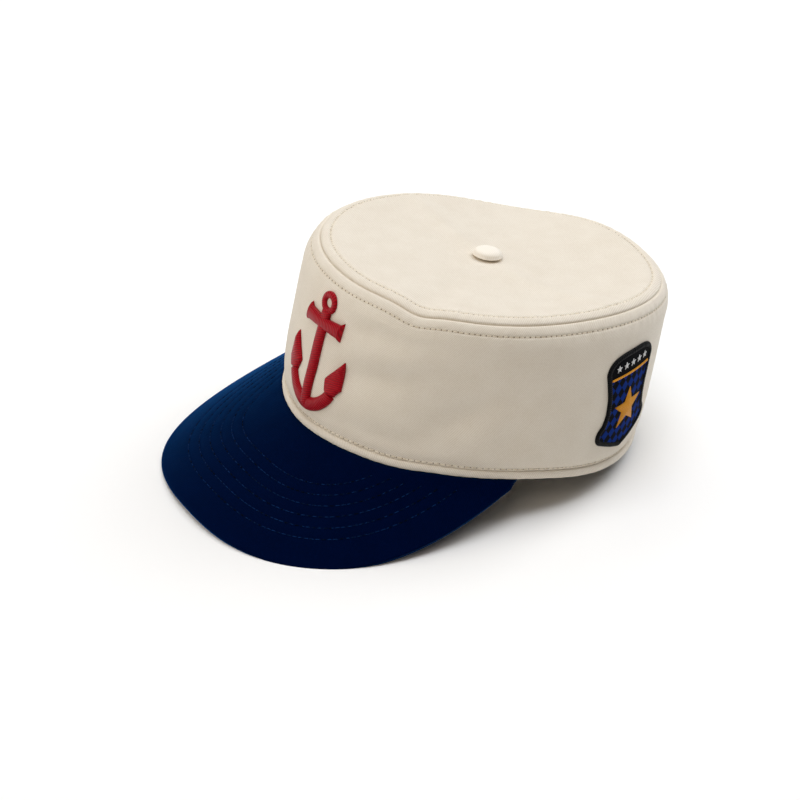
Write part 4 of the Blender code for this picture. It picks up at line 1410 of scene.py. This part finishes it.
def sewn_star(name, middle_u, middle_v, radius, rise):
    """Five-pointed star of satin stitch, highest in its middle."""
    tips = []
    for k in range(10):
        angle = k * math.pi / 5
        reach = radius if k % 2 == 0 else radius * STAR_WAIST
        tips.append((middle_u + reach * math.sin(angle), middle_v + reach * math.cos(angle)))
    u, v = np.array(tips).T
    rows = np.array([0.0, 0.25, 0.5, 0.75, 1.0])[:, None]
    plan_u = middle_u + rows * (np.append(u, u[0])[None, :] - middle_u)
    plan_v = middle_v + rows * (np.append(v, v[0])[None, :] - middle_v)
    face, normal = on_badge(plan_u, plan_v)
    height = BADGE_FIELD_RISE + THIN + rise * (1 - 0.8 * rows**2) + 0 * plan_u
    upper = face + normal * height[..., None]
    lower = (face + normal * (BADGE_FIELD_RISE - 2 * THIN))[::-1]
    grid = np.concatenate([upper, lower])[:, :-1]
    places = third(rows * radius, 0 * plan_u)
    places = np.concatenate([places, places[::-1]])
    return woven(name, grid, places, False, True)


# The gold is a warm, bright thread with a soft gloss, and stands out most on the badge.
gold_satin = satin(
    "gold_rayon_satin_stitch", "#F2A60C", "#BE7602", 0.45, 0.8, Specular_IOR_Level=0.25
)
# The white is clean and a little glossy, so the small stars stay crisp on black.
white_satin = satin(
    "white_rayon_satin_stitch", "#F2F2F0", "#B9B9BC", 0.45, 0.4, Specular_IOR_Level=0.35
)


def on_badge_field(u, v):
    """Place on the badge's woven face."""
    face, normal = on_badge(u, v)
    return face + normal * (BADGE_FIELD_RISE - THIN), normal


bar_nodes = [(end * BADGE_BAR_HALF_LENGTH, BADGE_BAR_AT, BADGE_BAR_HALF_WIDTH) for end in (-1, 1)]
gold_bar = satin_stroke("badge_bar", bar_nodes, on_badge_field, BADGE_BAR_PAD)
gold_bar.data.materials.append(gold_satin)
gold_star = sewn_star("badge_star", 0.0, BADGE_STAR_AT, BADGE_STAR_RADIUS, BADGE_STAR_RISE)
gold_star.data.materials.append(gold_satin)
badge_pieces = [border, field, gold_bar, gold_star]
for k in range(5):
    right_of_middle = (k - 2) * SMALL_STAR_PITCH
    star = sewn_star(
        f"badge_small_star_{k + 1}", right_of_middle, SMALL_STAR_AT, SMALL_STAR_RADIUS, SMALL_STAR_RISE
    )
    star.data.materials.append(white_satin)
    badge_pieces.append(star)
for piece in badge_pieces:
    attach(piece, "root")
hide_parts("side_badge")
